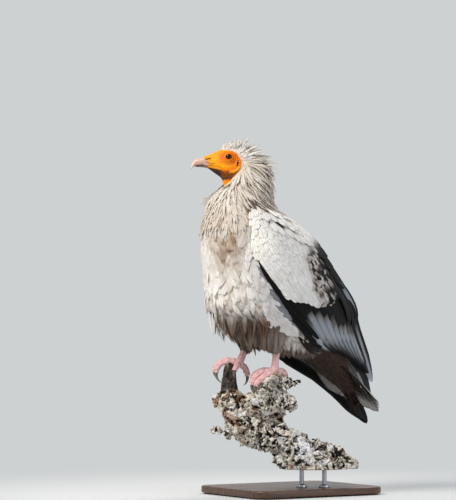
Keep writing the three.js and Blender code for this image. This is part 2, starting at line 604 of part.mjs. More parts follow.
for (const [name, side] of Object.entries(SIDES)) {
  const leg = LEGS[name];
  const thigh = limb(leg.thigh, 0, 10).subtract(trunkClear);
  const cover = wingShell(side).subtract(trunkClear).subtract(limb(leg.thigh, GAP, 10));
  const coverClear = wingShell(side, GAP);
  const second = secondaries(side).subtract(coverClear).subtract(trunkClear);
  const first = primaries(side).subtract(secondaries(side, GAP)).subtract(coverClear);
  const clear = joined([secondaries(side, GAP), primaries(side, GAP), limb(leg.tarsus, GAP)]);
  add(`thigh_${name}`, thigh.subtract(clear), TROUSERS, FINE);
  add(`wing_${name}`, cover, COVERTS, FINE);
  add(`secondaries_${name}`, second, SECONDARY, 0.12);
  add(`primaries_${name}`, first.subtract(trunkClear), PRIMARY, 0.12);
}
const wingsClear = joined(Object.values(SIDES).flatMap((side) =>
  [secondaries(side, GAP), primaries(side, GAP), wingShell(side, GAP)]));
add('tail', tailFan().subtract(trunkClear).subtract(wingsClear), TAIL_TINT, 0.12);

let perch = joined(Object.values(PERCH_LIMBS).map((path) => gnarled(path)));
perch = perch.intersect(halfSpace(new THREE.Vector3(0, 0, PERCH_CUT), new THREE.Vector3(0, 0, 1)));
perch = perch.simplify(1.6);
for (const [name, leg] of Object.entries(LEGS)) {
  const feathers = joined([limb(leg.thigh, GAP, 10), trunkClear]);
  const foot = footSolid(leg, GAP);
  add(`tarsus_${name}`, limb(leg.tarsus).subtract(feathers).subtract(foot), LEG_SKIN);
  add(`foot_${name}`, footSolid(leg), LEG_SKIN, 0.2);
  perch = perch.subtract(footSolid(leg, 2.2, 5));
  leg.claws.forEach((path, i) => {
    add(`claw_${name}_${i + 1}`, limb(path, 0, 5).subtract(foot), CLAW, 0.03);
    perch = perch.subtract(limb(path, 0.8, 4));
  });
}
for (const [x, y] of ROD_PLACES) perch = perch.subtract(rod(x, y, 0, ROD_TOP + GAP, ROD_RADIUS + GAP));
add('perch', perch, BARK, 0.7);
add('stand_base', standBase(), BASE_WOOD);
ROD_PLACES.forEach(([x, y], i) => {
  add(`stand_rod_${i + 1}`, rod(x, y, BASE_SIZE[2] - BASE_RECESS + GAP, ROD_TOP), STEEL);
});

export default model;
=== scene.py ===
import math

import bmesh
import bpy
import numpy as np
from bpy.props import FloatProperty, FloatVectorProperty, IntProperty, PointerProperty
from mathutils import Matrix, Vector


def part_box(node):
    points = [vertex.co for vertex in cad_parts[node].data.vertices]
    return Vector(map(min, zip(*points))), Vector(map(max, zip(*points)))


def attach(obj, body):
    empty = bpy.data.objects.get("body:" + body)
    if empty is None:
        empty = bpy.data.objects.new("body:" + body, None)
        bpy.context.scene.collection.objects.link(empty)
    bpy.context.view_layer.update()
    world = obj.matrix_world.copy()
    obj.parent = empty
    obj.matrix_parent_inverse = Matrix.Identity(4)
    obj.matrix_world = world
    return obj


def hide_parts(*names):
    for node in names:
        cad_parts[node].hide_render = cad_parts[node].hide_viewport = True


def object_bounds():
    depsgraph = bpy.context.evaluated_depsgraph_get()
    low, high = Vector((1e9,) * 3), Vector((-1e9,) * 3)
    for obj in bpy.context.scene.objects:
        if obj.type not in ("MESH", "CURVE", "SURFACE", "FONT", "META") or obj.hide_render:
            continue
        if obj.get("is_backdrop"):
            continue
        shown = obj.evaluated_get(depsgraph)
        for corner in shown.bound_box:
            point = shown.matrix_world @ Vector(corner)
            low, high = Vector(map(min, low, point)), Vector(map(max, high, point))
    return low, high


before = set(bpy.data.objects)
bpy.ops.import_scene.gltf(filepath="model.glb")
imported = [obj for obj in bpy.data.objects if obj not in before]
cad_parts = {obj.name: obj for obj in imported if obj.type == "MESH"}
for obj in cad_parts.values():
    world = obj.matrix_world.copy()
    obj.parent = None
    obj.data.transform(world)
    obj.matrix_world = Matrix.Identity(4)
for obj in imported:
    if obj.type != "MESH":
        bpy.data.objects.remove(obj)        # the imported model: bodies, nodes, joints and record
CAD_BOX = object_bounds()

bl_info = {
    "name": "Vulture maker",
    "version": (1, 0, 0),
    "blender": (4, 5, 0),
    "location": "3D View > Sidebar > Vulture",
    "description": "Makes a life-size Egyptian vulture on a branch, feather by feather",
    "category": "Add Mesh",
}

MM = 0.001
TURN = 2 * math.pi


# ------------------------------------------------------------------ small helpers
def unit(v):
    return v / np.maximum(np.linalg.norm(v, axis=-1, keepdims=True), 1e-9)


def mix(a, b, t):
    return a + (b - a) * t


def together(*parts):
    """Arrays or numbers side by side along a new last axis."""
    return np.stack(np.broadcast_arrays(*parts), -1)


def lattice(rows, columns):
    return np.meshgrid(rows, columns, indexing="ij")


def dot(a, b):
    return (a * b).sum(-1)


def run_along(points):
    """The distance covered from a line's first point to each of its points."""
    return np.concatenate([[0], np.cumsum(np.linalg.norm(np.diff(points, axis=0), axis=1))])


def smooth(low, high, x):
    t = np.clip((x - low) / (high - low), 0, 1)
    return t * t * (3 - 2 * t)


def bump(x, middle, half):
    """1 at the middle, falling away over a half width."""
    return np.exp(-(((x - middle) / half) ** 2))


def waves(p, size, seed):
    """Smooth random values, about -1 to 1, from the sum of a few crossing waves."""
    rng = np.random.default_rng(seed)
    total = 0
    for _ in range(7):
        way = unit(rng.normal(size=3)) * TURN / (size * rng.uniform(0.7, 1.8))
        total = total + np.sin(p @ way + rng.uniform(0, TURN))
    return total / 2.6


def srgb(red, green, blue):
    """A colour written as 0 to 255, as the linear values that a shader takes."""
    part = [c / 255 for c in (red, green, blue)]
    return tuple(c / 12.92 if c <= 0.04045 else ((c + 0.055) / 1.055) ** 2.4 for c in part)


def spline(table, t):
    """A smooth curve through equally spaced rows, going straight on past both ends."""
    rows = np.asarray(table, float)
    last = len(rows) - 1
    inside = np.clip(t, 0, 1)
    i = np.minimum((inside * last).astype(int), last - 1)
    f = (inside * last - i)[..., None]
    a, b, c, d = rows[np.maximum(i - 1, 0)], rows[i], rows[i + 1], rows[np.minimum(i + 2, last)]
    value = b + 0.5 * f * (c - a + f * (2 * a - 5 * b + 4 * c - d + f * (3 * (b - c) + d - a)))
    slope = np.where((t > 1)[..., None], rows[-1] - rows[-2], rows[1] - rows[0])
    return value + (t - inside)[..., None] * last * slope


def to_line(a, u, *corners):
    """Distance from points to a line through corners, and the share of the way along it."""
    best = np.full(np.shape(a), 1e9)
    along = np.zeros(np.shape(a))
    for k, ((a0, u0), (a1, u1)) in enumerate(zip(corners, corners[1:])):
        da, du = a1 - a0, u1 - u0
        t = np.clip(((a - a0) * da + (u - u0) * du) / (da * da + du * du), 0, 1)
        gap = np.hypot(a - a0 - t * da, u - u0 - t * du)
        along = np.where(gap < best, (k + t) / (len(corners) - 1), along)
        best = np.minimum(best, gap)
    return best, along


# ------------------------------------------------------------------ the shape of the bird
HEAD_TURN = math.radians(33)
HEAD_POINT = np.array([-12.6, -120.6, 589.0])  # midway between the eyes
AHEAD = np.array([-math.sin(HEAD_TURN), -math.cos(HEAD_TURN), 0])
LEFTWARD = np.array([math.cos(HEAD_TURN), -math.sin(HEAD_TURN), 0])
UPWARD = np.array([0.0, 0, 1])
SIDEWAYS = np.array([1.0, 0, 0])
EYE_RADIUS = 7.4
EYE_SPREAD = 13.2


def on_head(ahead, left, up):
    ahead, left, up = (np.asarray(x, float)[..., None] for x in (ahead, left, up))
    return HEAD_POINT + ahead * AHEAD + left * LEFTWARD + up * UPWARD


def from_head(p):
    offset = p - HEAD_POINT
    return offset @ AHEAD, offset @ LEFTWARD, offset @ UPWARD


# Skin sections of head and upper neck, from the bill's root over the skull and down:
# upper edge (ahead, up), lower edge (ahead, up), half width, how much narrower below.
HEAD_SKIN = [
    (44.6, 1.2, 44.2, -15.0, 7.0, 0.0), (41.0, 2.6, 39.6, -17.2, 7.7, 0.02),
    (36.0, 4.6, 34.5, -20.4, 8.6, 0.06), (30.0, 7.0, 29.0, -24.5, 9.8, 0.10),
    (24.0, 10.0, 23.5, -28.6, 11.6, 0.16), (17.0, 12.9, 18.0, -32.4, 13.9, 0.24),
    (10.0, 15.2, 13.8, -36.0, 16.0, 0.32), (3.0, 16.6, 11.2, -41.0, 17.6, 0.40),
    (-4.0, 17.2, 9.3, -46.0, 18.5, 0.44), (-12.0, 17.0, 7.2, -51.0, 18.9, 0.44),
    (-21.0, 15.0, 4.8, -56.0, 18.8, 0.38), (-29.0, 10.5, 1.6, -61.0, 18.6, 0.28),
    (-35.0, 3.0, -2.0, -66.0, 18.6, 0.18), (-39.0, -8.0, -6.0, -73.0, 19.0, 0.1),
    (-41.0, -22.0, -9.0, -82.0, 20.0, 0.05), (-42.0, -38.0, -12.0, -94.0, 21.0, 0.0),
    (-43.0, -58.0, -14.0, -108.0, 22.0, 0.0),
]
# Outer sections of neck and trunk, from the neck's top to the tail's root: middle x, front
# (y, z), back (y, z), half width.
BODY = [
    (11, -112, 583, -62, 585, 19), (11, -117, 571, -56, 575, 25), (10, -129, 558, -52, 562, 30),
    (7, -143, 544, -50, 547, 35), (5, -158, 530, -49, 533, 42), (2, -167, 512, -49, 516, 50),
    (0, -171, 494, -47, 501, 57), (0, -174, 476, -36, 491, 67), (0, -177, 457, -18, 478, 76),
    (0, -177, 436, 6, 458, 83), (0, -174, 412, 30, 434, 87), (0, -169, 388, 50, 408, 88),
    (0, -166, 364, 66, 382, 87), (0, -165, 342, 79, 358, 85), (0, -161, 324, 89, 336, 82),
    (0, -146, 308, 97, 316, 78), (0, -122, 292, 104, 297, 72), (0, -94, 275, 110, 278, 65),
    (0, -58, 262, 116, 258, 56), (0, -16, 252, 122, 238, 46), (0, 28, 236, 128, 218, 37),
    (0, 66, 214, 131, 198, 28), (0, 98, 192, 134, 182, 18),
]
# The folded left wing: lower edge, middle line and upper edge, from its bend to its tip.
WING = [
    [(72, -128, 466), (79, -104, 483), (60, -76, 491)],
    [(85, -124, 402), (96, -80, 441), (52, -20, 469)],
    [(90, -98, 360), (98, -36, 398), (48, 28, 432)],
    [(88, -68, 324), (93, 0, 356), (46, 72, 373)],
    [(80, -28, 296), (80, 38, 318), (40, 105, 330)],
    [(66, 22, 262), (63, 68, 281), (33, 118, 291)],
    [(50, 78, 244), (46, 106, 250), (27, 137, 250)],
    [(35, 122, 212), (31, 142, 214), (21, 156, 211)],
    [(22, 158, 163), (19, 168, 167), (14, 173, 171)],
]
RIGHT_WING_DROP = np.array([-8, 13, -49])  # the right wing's tip hangs lower
TAIL_ROOT = np.array([0, 6, 271])
TAIL_SLOPE = math.radians(36.5)
TAIL_LENGTH = 226
TAIL_SPREAD = math.radians(12.5)
# Legs as stations (x, y, z, radius).
LEGS = {
    "left": {
        "thigh": [(36, -62, 335, 34), (36, -60, 305, 32), (33, -52, 279, 23), (30, -48, 262, 14),
                  (28, -47, 250, 8)],
        "tarsus": [(26, -41, 275, 5.4), (27, -47, 249, 5), (27.5, -50, 232, 5), (27, -51, 222, 6)],
        "pad": [(27, -50, 225, 6), (27, -52, 220, 7.6), (27, -53, 214, 6.4)],
        "toes": [
            [(27, -54, 217, 5.4), (22, -62, 216, 5), (17, -72, 214, 4.9), (13, -80, 207, 4.8),
             (10, -85, 198, 4.4), (9, -86, 192, 3.6)],
            [(24, -54, 217, 5.2), (13, -61, 217, 4.6), (3, -68, 214, 4.2), (-4, -74, 209, 3.8),
             (-6, -77, 203, 3.2)],
            [(30, -55, 216, 5.2), (30, -66, 211, 4.6), (26, -76, 204, 4.3), (21, -83, 196, 3.9),
             (19, -85, 190, 3.2)],
            [(28, -50, 217, 5.2), (29, -41, 216, 4.8), (29.5, -33, 211, 4.6), (29.5, -31, 203, 3.6)],
        ],
        "claws": [
            [(8.6, -86.6, 189.6, 3), (8, -86, 185, 2.3), (8.6, -84, 180, 1.3), (10, -81, 176, 0.5)],
            [(-6.4, -77.6, 200.6, 2.6), (-6.6, -77, 196, 2), (-5.4, -75, 191, 1.2),
             (-3, -72, 188, 0.5)],
            [(18.4, -85.6, 187.6, 2.6), (18, -85, 183, 2), (18.4, -83, 178, 1.2), (20, -80, 175, 0.5)],
            [(29.6, -31.2, 200.4, 3), (29.4, -32, 195, 2.3), (29, -35, 190, 1.3),
             (28.6, -39, 187, 0.5)],
        ],
    },
    "right": {
        "thigh": [(-42, -66, 330, 33), (-46, -66, 300, 30), (-44, -64, 277, 22), (-42, -66, 261, 13),
                  (-40, -69, 250, 7.5)],
        "tarsus": [(-42, -57, 278, 5.4), (-40, -68, 255, 5), (-39.5, -77, 240, 5.2),
                   (-39, -81, 232, 6)],
        "pad": [(-39, -79, 236, 6), (-39, -83, 231, 7.4), (-39, -85, 226, 6.2)],
        "toes": [
            [(-40, -86, 230, 5.4), (-43, -92, 233, 5), (-48, -102, 234, 5), (-56, -111, 229, 4.9),
             (-60, -116, 221, 4.6), (-61, -117, 213, 3.6)],
            [(-42, -84, 230, 5.2), (-54, -88, 231, 4.6), (-65, -97, 231, 4.2), (-72, -106, 227, 3.9),
             (-74, -111, 221, 3.2)],
            [(-37, -86, 229, 5.2), (-32, -92, 225, 4.8), (-30, -98, 217, 3.8)],
            [(-39, -81, 229, 5.2), (-39, -74, 224, 4.8), (-38, -69, 216, 4.4), (-37, -67, 207, 3.5)],
        ],
        "claws": [
            [(-60.8, -117, 210.6, 3), (-60, -116.6, 205, 2.3), (-57, -114, 199, 1.4),
             (-52, -109, 194, 0.5)],
            [(-74.2, -112, 218.6, 2.6), (-74.4, -113.4, 214, 2), (-73, -113.6, 209, 1.3),
             (-70, -112, 206, 0.5)],
            [(-30, -98.8, 214.6, 2.8), (-30.6, -99.4, 210, 2.1), (-31, -98.6, 206, 1.3),
             (-32, -96, 203, 0.5)],
            [(-36.8, -67, 204.4, 2.9), (-36.8, -68, 199, 2.2), (-36.6, -71, 194, 1.3),
             (-36.4, -75, 191, 0.5)],
        ],
    },
}
SIDES = {"left": 1, "right": -1}


STEP = 3e-3  # how far to either side of a place a surface's slopes are measured


class Surface:
    """A curved patch given by place(u, v). Its normals face away from a point inside it."""

    def __init__(self, place, inside):
        self.place = place
        self.sign = 1
        point, _, _, normal = self.frame(np.array([0.4]), np.array([0.4]))
        self.sign = 1 if normal[0] @ (point[0] - np.asarray(inside)) > 0 else -1

    def frame(self, u, v):
        """The point at a place, its slopes along u and v, and its normal."""
        by_u = (self.place(u + STEP, v) - self.place(u - STEP, v)) / (2 * STEP)
        by_v = (self.place(u, v + STEP) - self.place(u, v - STEP)) / (2 * STEP)
        return self.place(u, v), by_u, by_v, unit(np.cross(by_u, by_v)) * self.sign

    def at(self, u, v, height):
        point, _, _, normal = self.frame(u, v)
        return point + normal * height[..., None]


def body_place(u, v):
    """u runs from the neck's top to the tail's root. v turns from the breast by the left side."""
    row = spline(BODY, u)
    front, back, across = row[..., :3], row[..., [0, 3, 4]], row[..., 5:6] * SIDEWAYS
    cos, sin = np.cos(TURN * v)[..., None], np.sin(TURN * v)[..., None]
    return (front + back) / 2 + (front - back) / 2 * cos + across * sin


def head_place(u, v):
    """u runs from the bill's root over the skull and down the neck. v turns from the crown."""
    row = spline(HEAD_SKIN, u)
    top = on_head(row[..., 0], 0 * u, row[..., 1])
    low = on_head(row[..., 2], 0 * u, row[..., 3])
    cos, sin = np.cos(TURN * v)[..., None], np.sin(TURN * v)[..., None]
    narrow = 1 - row[..., 5:6] * smooth(-0.1, 1, -cos)
    return (top + low) / 2 + (top - low) / 2 * cos + LEFTWARD * sin * row[..., 4:5] * narrow


def centripetal(points, t):
    """A rounder smooth curve through points that stand at uneven distances."""
    p = np.asarray(points, float)
    padded = np.vstack([2 * p[0] - p[1], p, 2 * p[-1] - p[-2]])
    last = len(p) - 1
    inside = np.clip(t, 0, 1)
    i = np.minimum((inside * last).astype(int), last - 1)
    f = (inside * last - i)[..., None]
    a, b, c, d = (padded[i + k] for k in range(4))
    ab, bc, cd = (np.linalg.norm(q - p, axis=-1, keepdims=True) ** 0.5
                  for p, q in ((a, b), (b, c), (c, d)))
    leave = ((b - a) / ab - (c - a) / (ab + bc) + (c - b) / bc) * bc
    reach = ((c - b) / bc - (d - b) / (bc + cd) + (d - c) / cd) * bc
    value = b + f * (leave + f * (3 * (c - b) - 2 * leave - reach
                                  + f * (2 * (b - c) + leave + reach)))
    slope = np.where((t > 1)[..., None], p[-1] - p[-2], p[1] - p[0])
    return value + (t - inside)[..., None] * last * slope


def wing_place(side):
    """u runs from the bend of the wing to its tip, v from its lower to its upper edge."""
    table = np.array(WING, float)
    if side < 0:
        table[..., 0] *= -1
        drop = smooth(0.42, 0.86, np.linspace(0, 1, len(table)))
        table += drop[:, None, None] * RIGHT_WING_DROP

    def place(u, v):
        low, middle, high = (centripetal(table[:, k], u) for k in range(3))
        w = v[..., None]
        return low * (1 - w) * (1 - 2 * w) + middle * 4 * w * (1 - w) + high * w * (2 * w - 1)
    return place


TAIL_ALONG = np.array([0, math.cos(TAIL_SLOPE), -math.sin(TAIL_SLOPE)])
TAIL_UP = np.array([0, math.sin(TAIL_SLOPE), math.cos(TAIL_SLOPE)])


def tail_place(u, v):
    """u runs from the tail's root to its tip, v from its right edge, 0, to its left edge, 1."""
    spot = 2 * v - 1
    reach = (TAIL_LENGTH * u)[..., None]
    turn = (spot * TAIL_SPREAD)[..., None]
    return (TAIL_ROOT + TAIL_ALONG * np.cos(turn) * reach + SIDEWAYS * np.sin(turn) * reach
            + TAIL_UP * (3 - 9 * spot * spot)[..., None])


def round_line(stations, u, way):
    """Rows along a line with two directions across it: the one nearest to a way, and the other."""
    row = spline(stations, u)
    ahead = unit(spline(stations, u + 0.02)[..., :3] - spline(stations, u - 0.02)[..., :3])
    near = unit(way - ahead * (ahead @ way)[..., None])
    return row, near, np.cross(near, ahead)


def tube_place(stations):
    """u runs along a limb, v round it from its front."""
    def place(u, v):
        row, front, side = round_line(stations, u, np.array([0.0, -1, 0]))
        turn = (TURN * v)[..., None]
        return row[..., :3] + (front * np.cos(turn) + side * np.sin(turn)) * row[..., 3:4]
    return place


BODY_SURFACE = Surface(body_place, (0, -50, 400))
HEAD_SURFACE = Surface(head_place, HEAD_POINT)
WING_SURFACES = {name: Surface(wing_place(side), (0, 0, 380)) for name, side in SIDES.items()}
TAIL_SURFACE = Surface(tail_place, (0, 0, 0))
THIGH_SURFACES = {name: Surface(tube_place(leg["thigh"]), leg["thigh"][1][:3])
                  for name, leg in LEGS.items()}


# ------------------------------------------------------------------ meshes
def new_mesh(name, points, quads, tris):
    """A smooth mesh from points in millimetres and arrays of four- and three-cornered faces."""
    quads = np.asarray(quads, np.int32).reshape(-1, 4)
    tris = np.asarray(tris, np.int32).reshape(-1, 3)
    corners = np.concatenate([quads.ravel(), tris.ravel()])
    starts = np.concatenate([np.arange(len(quads)) * 4,
                             len(quads) * 4 + np.arange(len(tris)) * 3]).astype(np.int32)
    mesh = bpy.data.meshes.new(name)
    mesh.vertices.add(len(points))
    mesh.vertices.foreach_set("co", (np.asarray(points) * MM).astype(np.float32).ravel())
    mesh.loops.add(len(corners))
    mesh.loops.foreach_set("vertex_index", corners)
    mesh.polygons.add(len(starts))
    mesh.polygons.foreach_set("loop_start", starts)
    mesh.polygons.foreach_set("use_smooth", np.ones(len(starts), bool))
    mesh.update(calc_edges=True)
    return mesh


def round_grid(rings, sides, low=0.0, high=1.0):
    """u along and v round a closed shape."""
    return lattice(np.linspace(low, high, rings), np.arange(sides) / sides)


def ring_quads(rings, sides):
    """Four-cornered faces between neighbouring rings of points."""
    r, k = lattice(np.arange(rings - 1), np.arange(sides))
    ahead = (k + 1) % sides
    return together(r * sides + k, r * sides + ahead, (r + 1) * sides + ahead,
                    (r + 1) * sides + k).reshape(-1, 4)


def add_object(mesh, *materials):
    made = bpy.data.objects.new(mesh.name, mesh)
    bpy.context.scene.collection.objects.link(made)
    for material in materials:
        mesh.materials.append(material)
    return made


def keep_values(mesh, name, values):
    """Stores values at the mesh's points: three or four numbers each, or one."""
    values = np.asarray(values, np.float32)
    kind = "FLOAT" if values.ndim == 1 else "FLOAT_COLOR"
    if values.ndim == 2 and values.shape[1] == 3:
        values = np.column_stack([values, np.ones(len(values), np.float32)])
    layer = mesh.attributes.new(name, kind, "POINT")
    layer.data.foreach_set("value" if kind == "FLOAT" else "color", values.ravel())


def keep_unwrap(mesh, corner_places):
    layer = mesh.uv_layers.new(name="OFBake")
    layer.data.foreach_set("uv", np.asarray(corner_places, np.float32).ravel())


def shell(name, grid, area=(0, 0, 1, 1)):
    """A closed mesh over rings of points, with a fan over each end, unwrapped into an area."""
    rings, sides, _ = grid.shape
    k = np.arange(sides)
    ahead = (k + 1) % sides
    ends = rings * sides
    last_ring = (rings - 1) * sides
    fans = np.concatenate([together(ahead, k, ends), together(k + last_ring, ahead + last_ring, ends + 1)])
    points = np.vstack([grid.reshape(-1, 3), grid[0].mean(0), grid[-1].mean(0)])
    mesh = new_mesh(name, points, ring_quads(rings, sides), fans)
    x0, y0, x1, y1 = area
    caps = [np.stack([together(k + 1, end), together(k, end), together(k + 0.5, end)], 1).reshape(-1, 2)
            for end in (0, rings - 1)]
    r, k = lattice(np.arange(rings - 1), np.arange(sides))
    corners = np.stack([together(k, r), together(k + 1, r), together(k + 1, r + 1), together(k, r + 1)], 2)
    corners = np.vstack([corners.reshape(-1, 2).astype(float), *caps]) / (sides, rings - 1)
    keep_unwrap(mesh, corners * (x1 - x0, y1 - y0) + (x0, y0))
    outwards(mesh)
    return mesh


def outwards(mesh):
    """Turns a closed mesh's faces outwards, judged by its enclosed volume."""
    made = bmesh.new()
    made.from_mesh(mesh)
    if made.calc_volume(signed=True) < 0:
        bmesh.ops.reverse_faces(made, faces=made.faces)
        made.to_mesh(mesh)
    made.free()


def finished(piece, slot, *nodes):
    """The last words on a piece: what it rides on and the solids that it stands for. Its slot is not used."""
    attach(piece, "root")
    if nodes:
        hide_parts(*nodes)
    return piece


def applied(piece):
    """The piece with its modifiers made real."""
    depsgraph = bpy.context.evaluated_depsgraph_get()
    mesh = bpy.data.meshes.new_from_object(piece.evaluated_get(depsgraph))
    piece.modifiers.clear()
    old, piece.data = piece.data, mesh
    mesh.name = piece.name
    bpy.data.meshes.remove(old)
    return piece


# ------------------------------------------------------------------ node trees
class Nodes:
    """A node tree with short ways to add nodes. Any input can be a value or another socket."""

    def __init__(self, tree):
        self.tree = tree

    def add(self, kind, inputs=None, **settings):
        node = self.tree.nodes.new(kind)
        for name, value in settings.items():
            setattr(node, name, value)
        for name, value in (inputs or {}).items():
            self.feed(node.inputs[name], value)
        return node

    def made(self, kind, inputs=None, **settings):
        """The first output of a new node."""
        return self.add(kind, inputs, **settings).outputs[0]

    def feed(self, socket, value):
        if isinstance(value, bpy.types.NodeSocket):
            self.tree.links.new(value, socket)
        else:
            socket.default_value = value

    def math(self, operation, a, b=0.0, clamp=False):
        return self.made("ShaderNodeMath", {0: a, 1: b}, operation=operation, use_clamp=clamp)

    def times(self, a, b):
        return self.math("MULTIPLY", a, b)

    def plus(self, a, b):
        return self.math("ADD", a, b)

    def minus(self, a, b):
        return self.math("SUBTRACT", a, b)

    def seen(self):
        """1 where the camera looks, straight, by a mirror or through glass, and 0 for light."""
        path = self.add("ShaderNodeLightPath").outputs
        rays = self.plus(path["Is Camera Ray"], path["Is Glossy Ray"])
        return self.math("ADD", rays, path["Is Transmission Ray"], clamp=True)

    def spread(self, value, low, high, to_low=0.0, to_high=1.0):
        inputs = {"Value": value, "From Min": low, "From Max": high, "To Min": to_low,
                  "To Max": to_high}
        return self.made("ShaderNodeMapRange", inputs, interpolation_type="SMOOTHSTEP")

    def blend(self, share, a, b, way="MIX"):
        node = self.add("ShaderNodeMix", data_type="RGBA", blend_type=way)
        self.feed(node.inputs[0], share)
        for socket, value in ((node.inputs[6], a), (node.inputs[7], b)):
            self.feed(socket, value if isinstance(value, bpy.types.NodeSocket) else (*value, 1.0))
        return node.outputs[2]


class Finish(Nodes):
    """A material. Its colour starts from a base, and more colours are laid over it."""

    def __init__(self, name, base=None, **shader_values):
        self.shade = base
        self.material = bpy.data.materials.new(name)
        self.material.use_nodes = True
        super().__init__(self.material.node_tree)
        self.tree.nodes.clear()
        self.shader = self.add("ShaderNodeBsdfPrincipled")
        output = self.add("ShaderNodeOutputMaterial")
        self.tree.links.new(self.shader.outputs[0], output.inputs[0])
        for socket, value in shader_values.items():
            self.shader.inputs[socket.replace("_", " ")].default_value = value
        self.place = self.add("ShaderNodeTexCoord").outputs["Object"]

    def values(self, name):
        """The parts of a value kept on the mesh: red, green, blue and alpha."""
        kept = self.add("ShaderNodeAttribute", attribute_name=name, attribute_type="GEOMETRY")
        parts = self.add("ShaderNodeSeparateColor", {0: kept.outputs["Color"]}).outputs
        return parts[0], parts[1], parts[2], kept.outputs["Alpha"]

    def lay(self, share, colour, most=1.0, way="MIX"):
        """Lays a colour over what is there by a share, and at most so much of it."""
        if most != 1.0:
            share = self.times(share, most)
        self.shade = self.blend(share, self.shade, colour, way)

    def stretched(self, scale, move=(0, 0, 0)):
        inputs = {0: self.place, "Scale": scale, "Location": move}
        return self.made("ShaderNodeMapping", inputs)

    def grain(self, size, detail=3.0, rough=0.55, warp=0.0, place=None):
        """Smooth noise whose cells are about a size in metres."""
        inputs = {"Vector": place or self.place, "Scale": 1 / size, "Detail": detail,
                  "Roughness": rough, "Distortion": warp}
        return self.made("ShaderNodeTexNoise", inputs)

    def cells(self, size, feature="F1", place=None):
        inputs = {"Vector": place or self.place, "Scale": 1 / size}
        return self.add("ShaderNodeTexVoronoi", inputs, feature=feature).outputs["Distance"]

    def done(self, height=None, depth=None, roughness=None):
        """Ends the material with its colour, a bump of a depth in metres and a roughness."""
        self.tree.links.new(self.shade, self.shader.inputs["Base Color"])
        if roughness:
            self.tree.links.new(roughness, self.shader.inputs["Roughness"])
        if height:
            bump_inputs = {"Height": height, "Distance": depth, "Strength": 1.0}
            bumped = self.made("ShaderNodeBump", bump_inputs)
            self.tree.links.new(bumped, self.shader.inputs["Normal"])
        return self.material


# ------------------------------------------------------------------ what a user can change
def colour(name, description, red, green, blue):
    return FloatVectorProperty(name=name, description=description, subtype="COLOR", size=3,
                               min=0, max=1, default=srgb(red, green, blue))


def length(name, description, millimetres):
    return FloatProperty(name=name, description=description, unit="LENGTH", min=0,
                         default=millimetres * MM)


class VultureCoat(bpy.types.PropertyGroup):
    """Sizes of the feathers."""

    crest: length("Crest", "Length of the longest spikes on the crown", 27)
    hackles: length("Hackles", "Length of the loose hackles of the nape", 58)
    breast: length("Breast", "Length of a breast feather", 36)
    coverts: length("Coverts", "Length of a middle wing covert", 34)
    greater_coverts: length("Greater coverts", "Length of the last row of coverts", 62)
    seed: IntProperty(name="Seed", description="Start of the random choices", default=11)


class VultureColours(bpy.types.PropertyGroup):
    """Colours of plumage, bare parts, branch and stand."""

    white: colour("White", "Clean plumage", 246, 244, 240)
    cream: colour("Cream", "Hackles and breast", 238, 225, 200)
    # Tan also paints shade on the lower breast.
    tan: colour("Tan", "Earth stain on the plumage", 156, 128, 100)
    # Soil is laid both as dirt and as painted shade: on belly and thighs, under the tail, in the nape's gaps,
    # between the flank's lobes and on the tail's underside.
    soil_and_shade: colour("Soil", "Dirt on belly and thighs", 84, 64, 54)
    # Silver also paints the wing's shadow on the flank and the shade on the loose feathers below it.
    silver: colour("Silver", "Outer webs of the secondaries", 174, 181, 192)
    # Black also paints shade: under the tail, on its underside, in the nape's gaps, along the wing's furrow
    # and at feather roots.
    black: colour("Black", "Flight feathers", 9, 8, 9)
    orange: colour("Orange", "Bare skin round the eye", 230, 112, 12)
    yellow: colour("Yellow", "Cere and cheek", 240, 156, 6)
    olive: colour("Olive", "Shade under the jaw", 62, 38, 18)
    horn: colour("Horn", "Bill", 200, 162, 144)
    iris: colour("Iris", "Iris", 62, 28, 12)
    leg: colour("Leg", "Bare legs", 236, 178, 188)
    claw: colour("Claw", "Claws", 86, 76, 72)
    bark: colour("Bark", "Weathered bark", 140, 125, 112)
    rot: colour("Rotten wood", "Reddish inner wood", 136, 88, 62)
    stand_wood: colour("Stand wood", "Stained stand base", 92, 58, 38)


class VultureStand(bpy.types.PropertyGroup):
    """Sizes of the display stand."""

    corner: length("Corner", "Radius of the base's corners", 26)
    bevel: length("Bevel", "Rounded edge of the base", 3)
    collar: length("Collar", "Height of the collar round each rod", 5)


# ------------------------------------------------------------------ markings
# Four shares for every point of skin or feather: earth stain, black, silver and soil. The soil share holds
# both dirt and painted shade, and in places the other shares hold painted shade too.
STAIN_SPOT = body_place(np.array([0.44]), np.array([0.085]))[0]


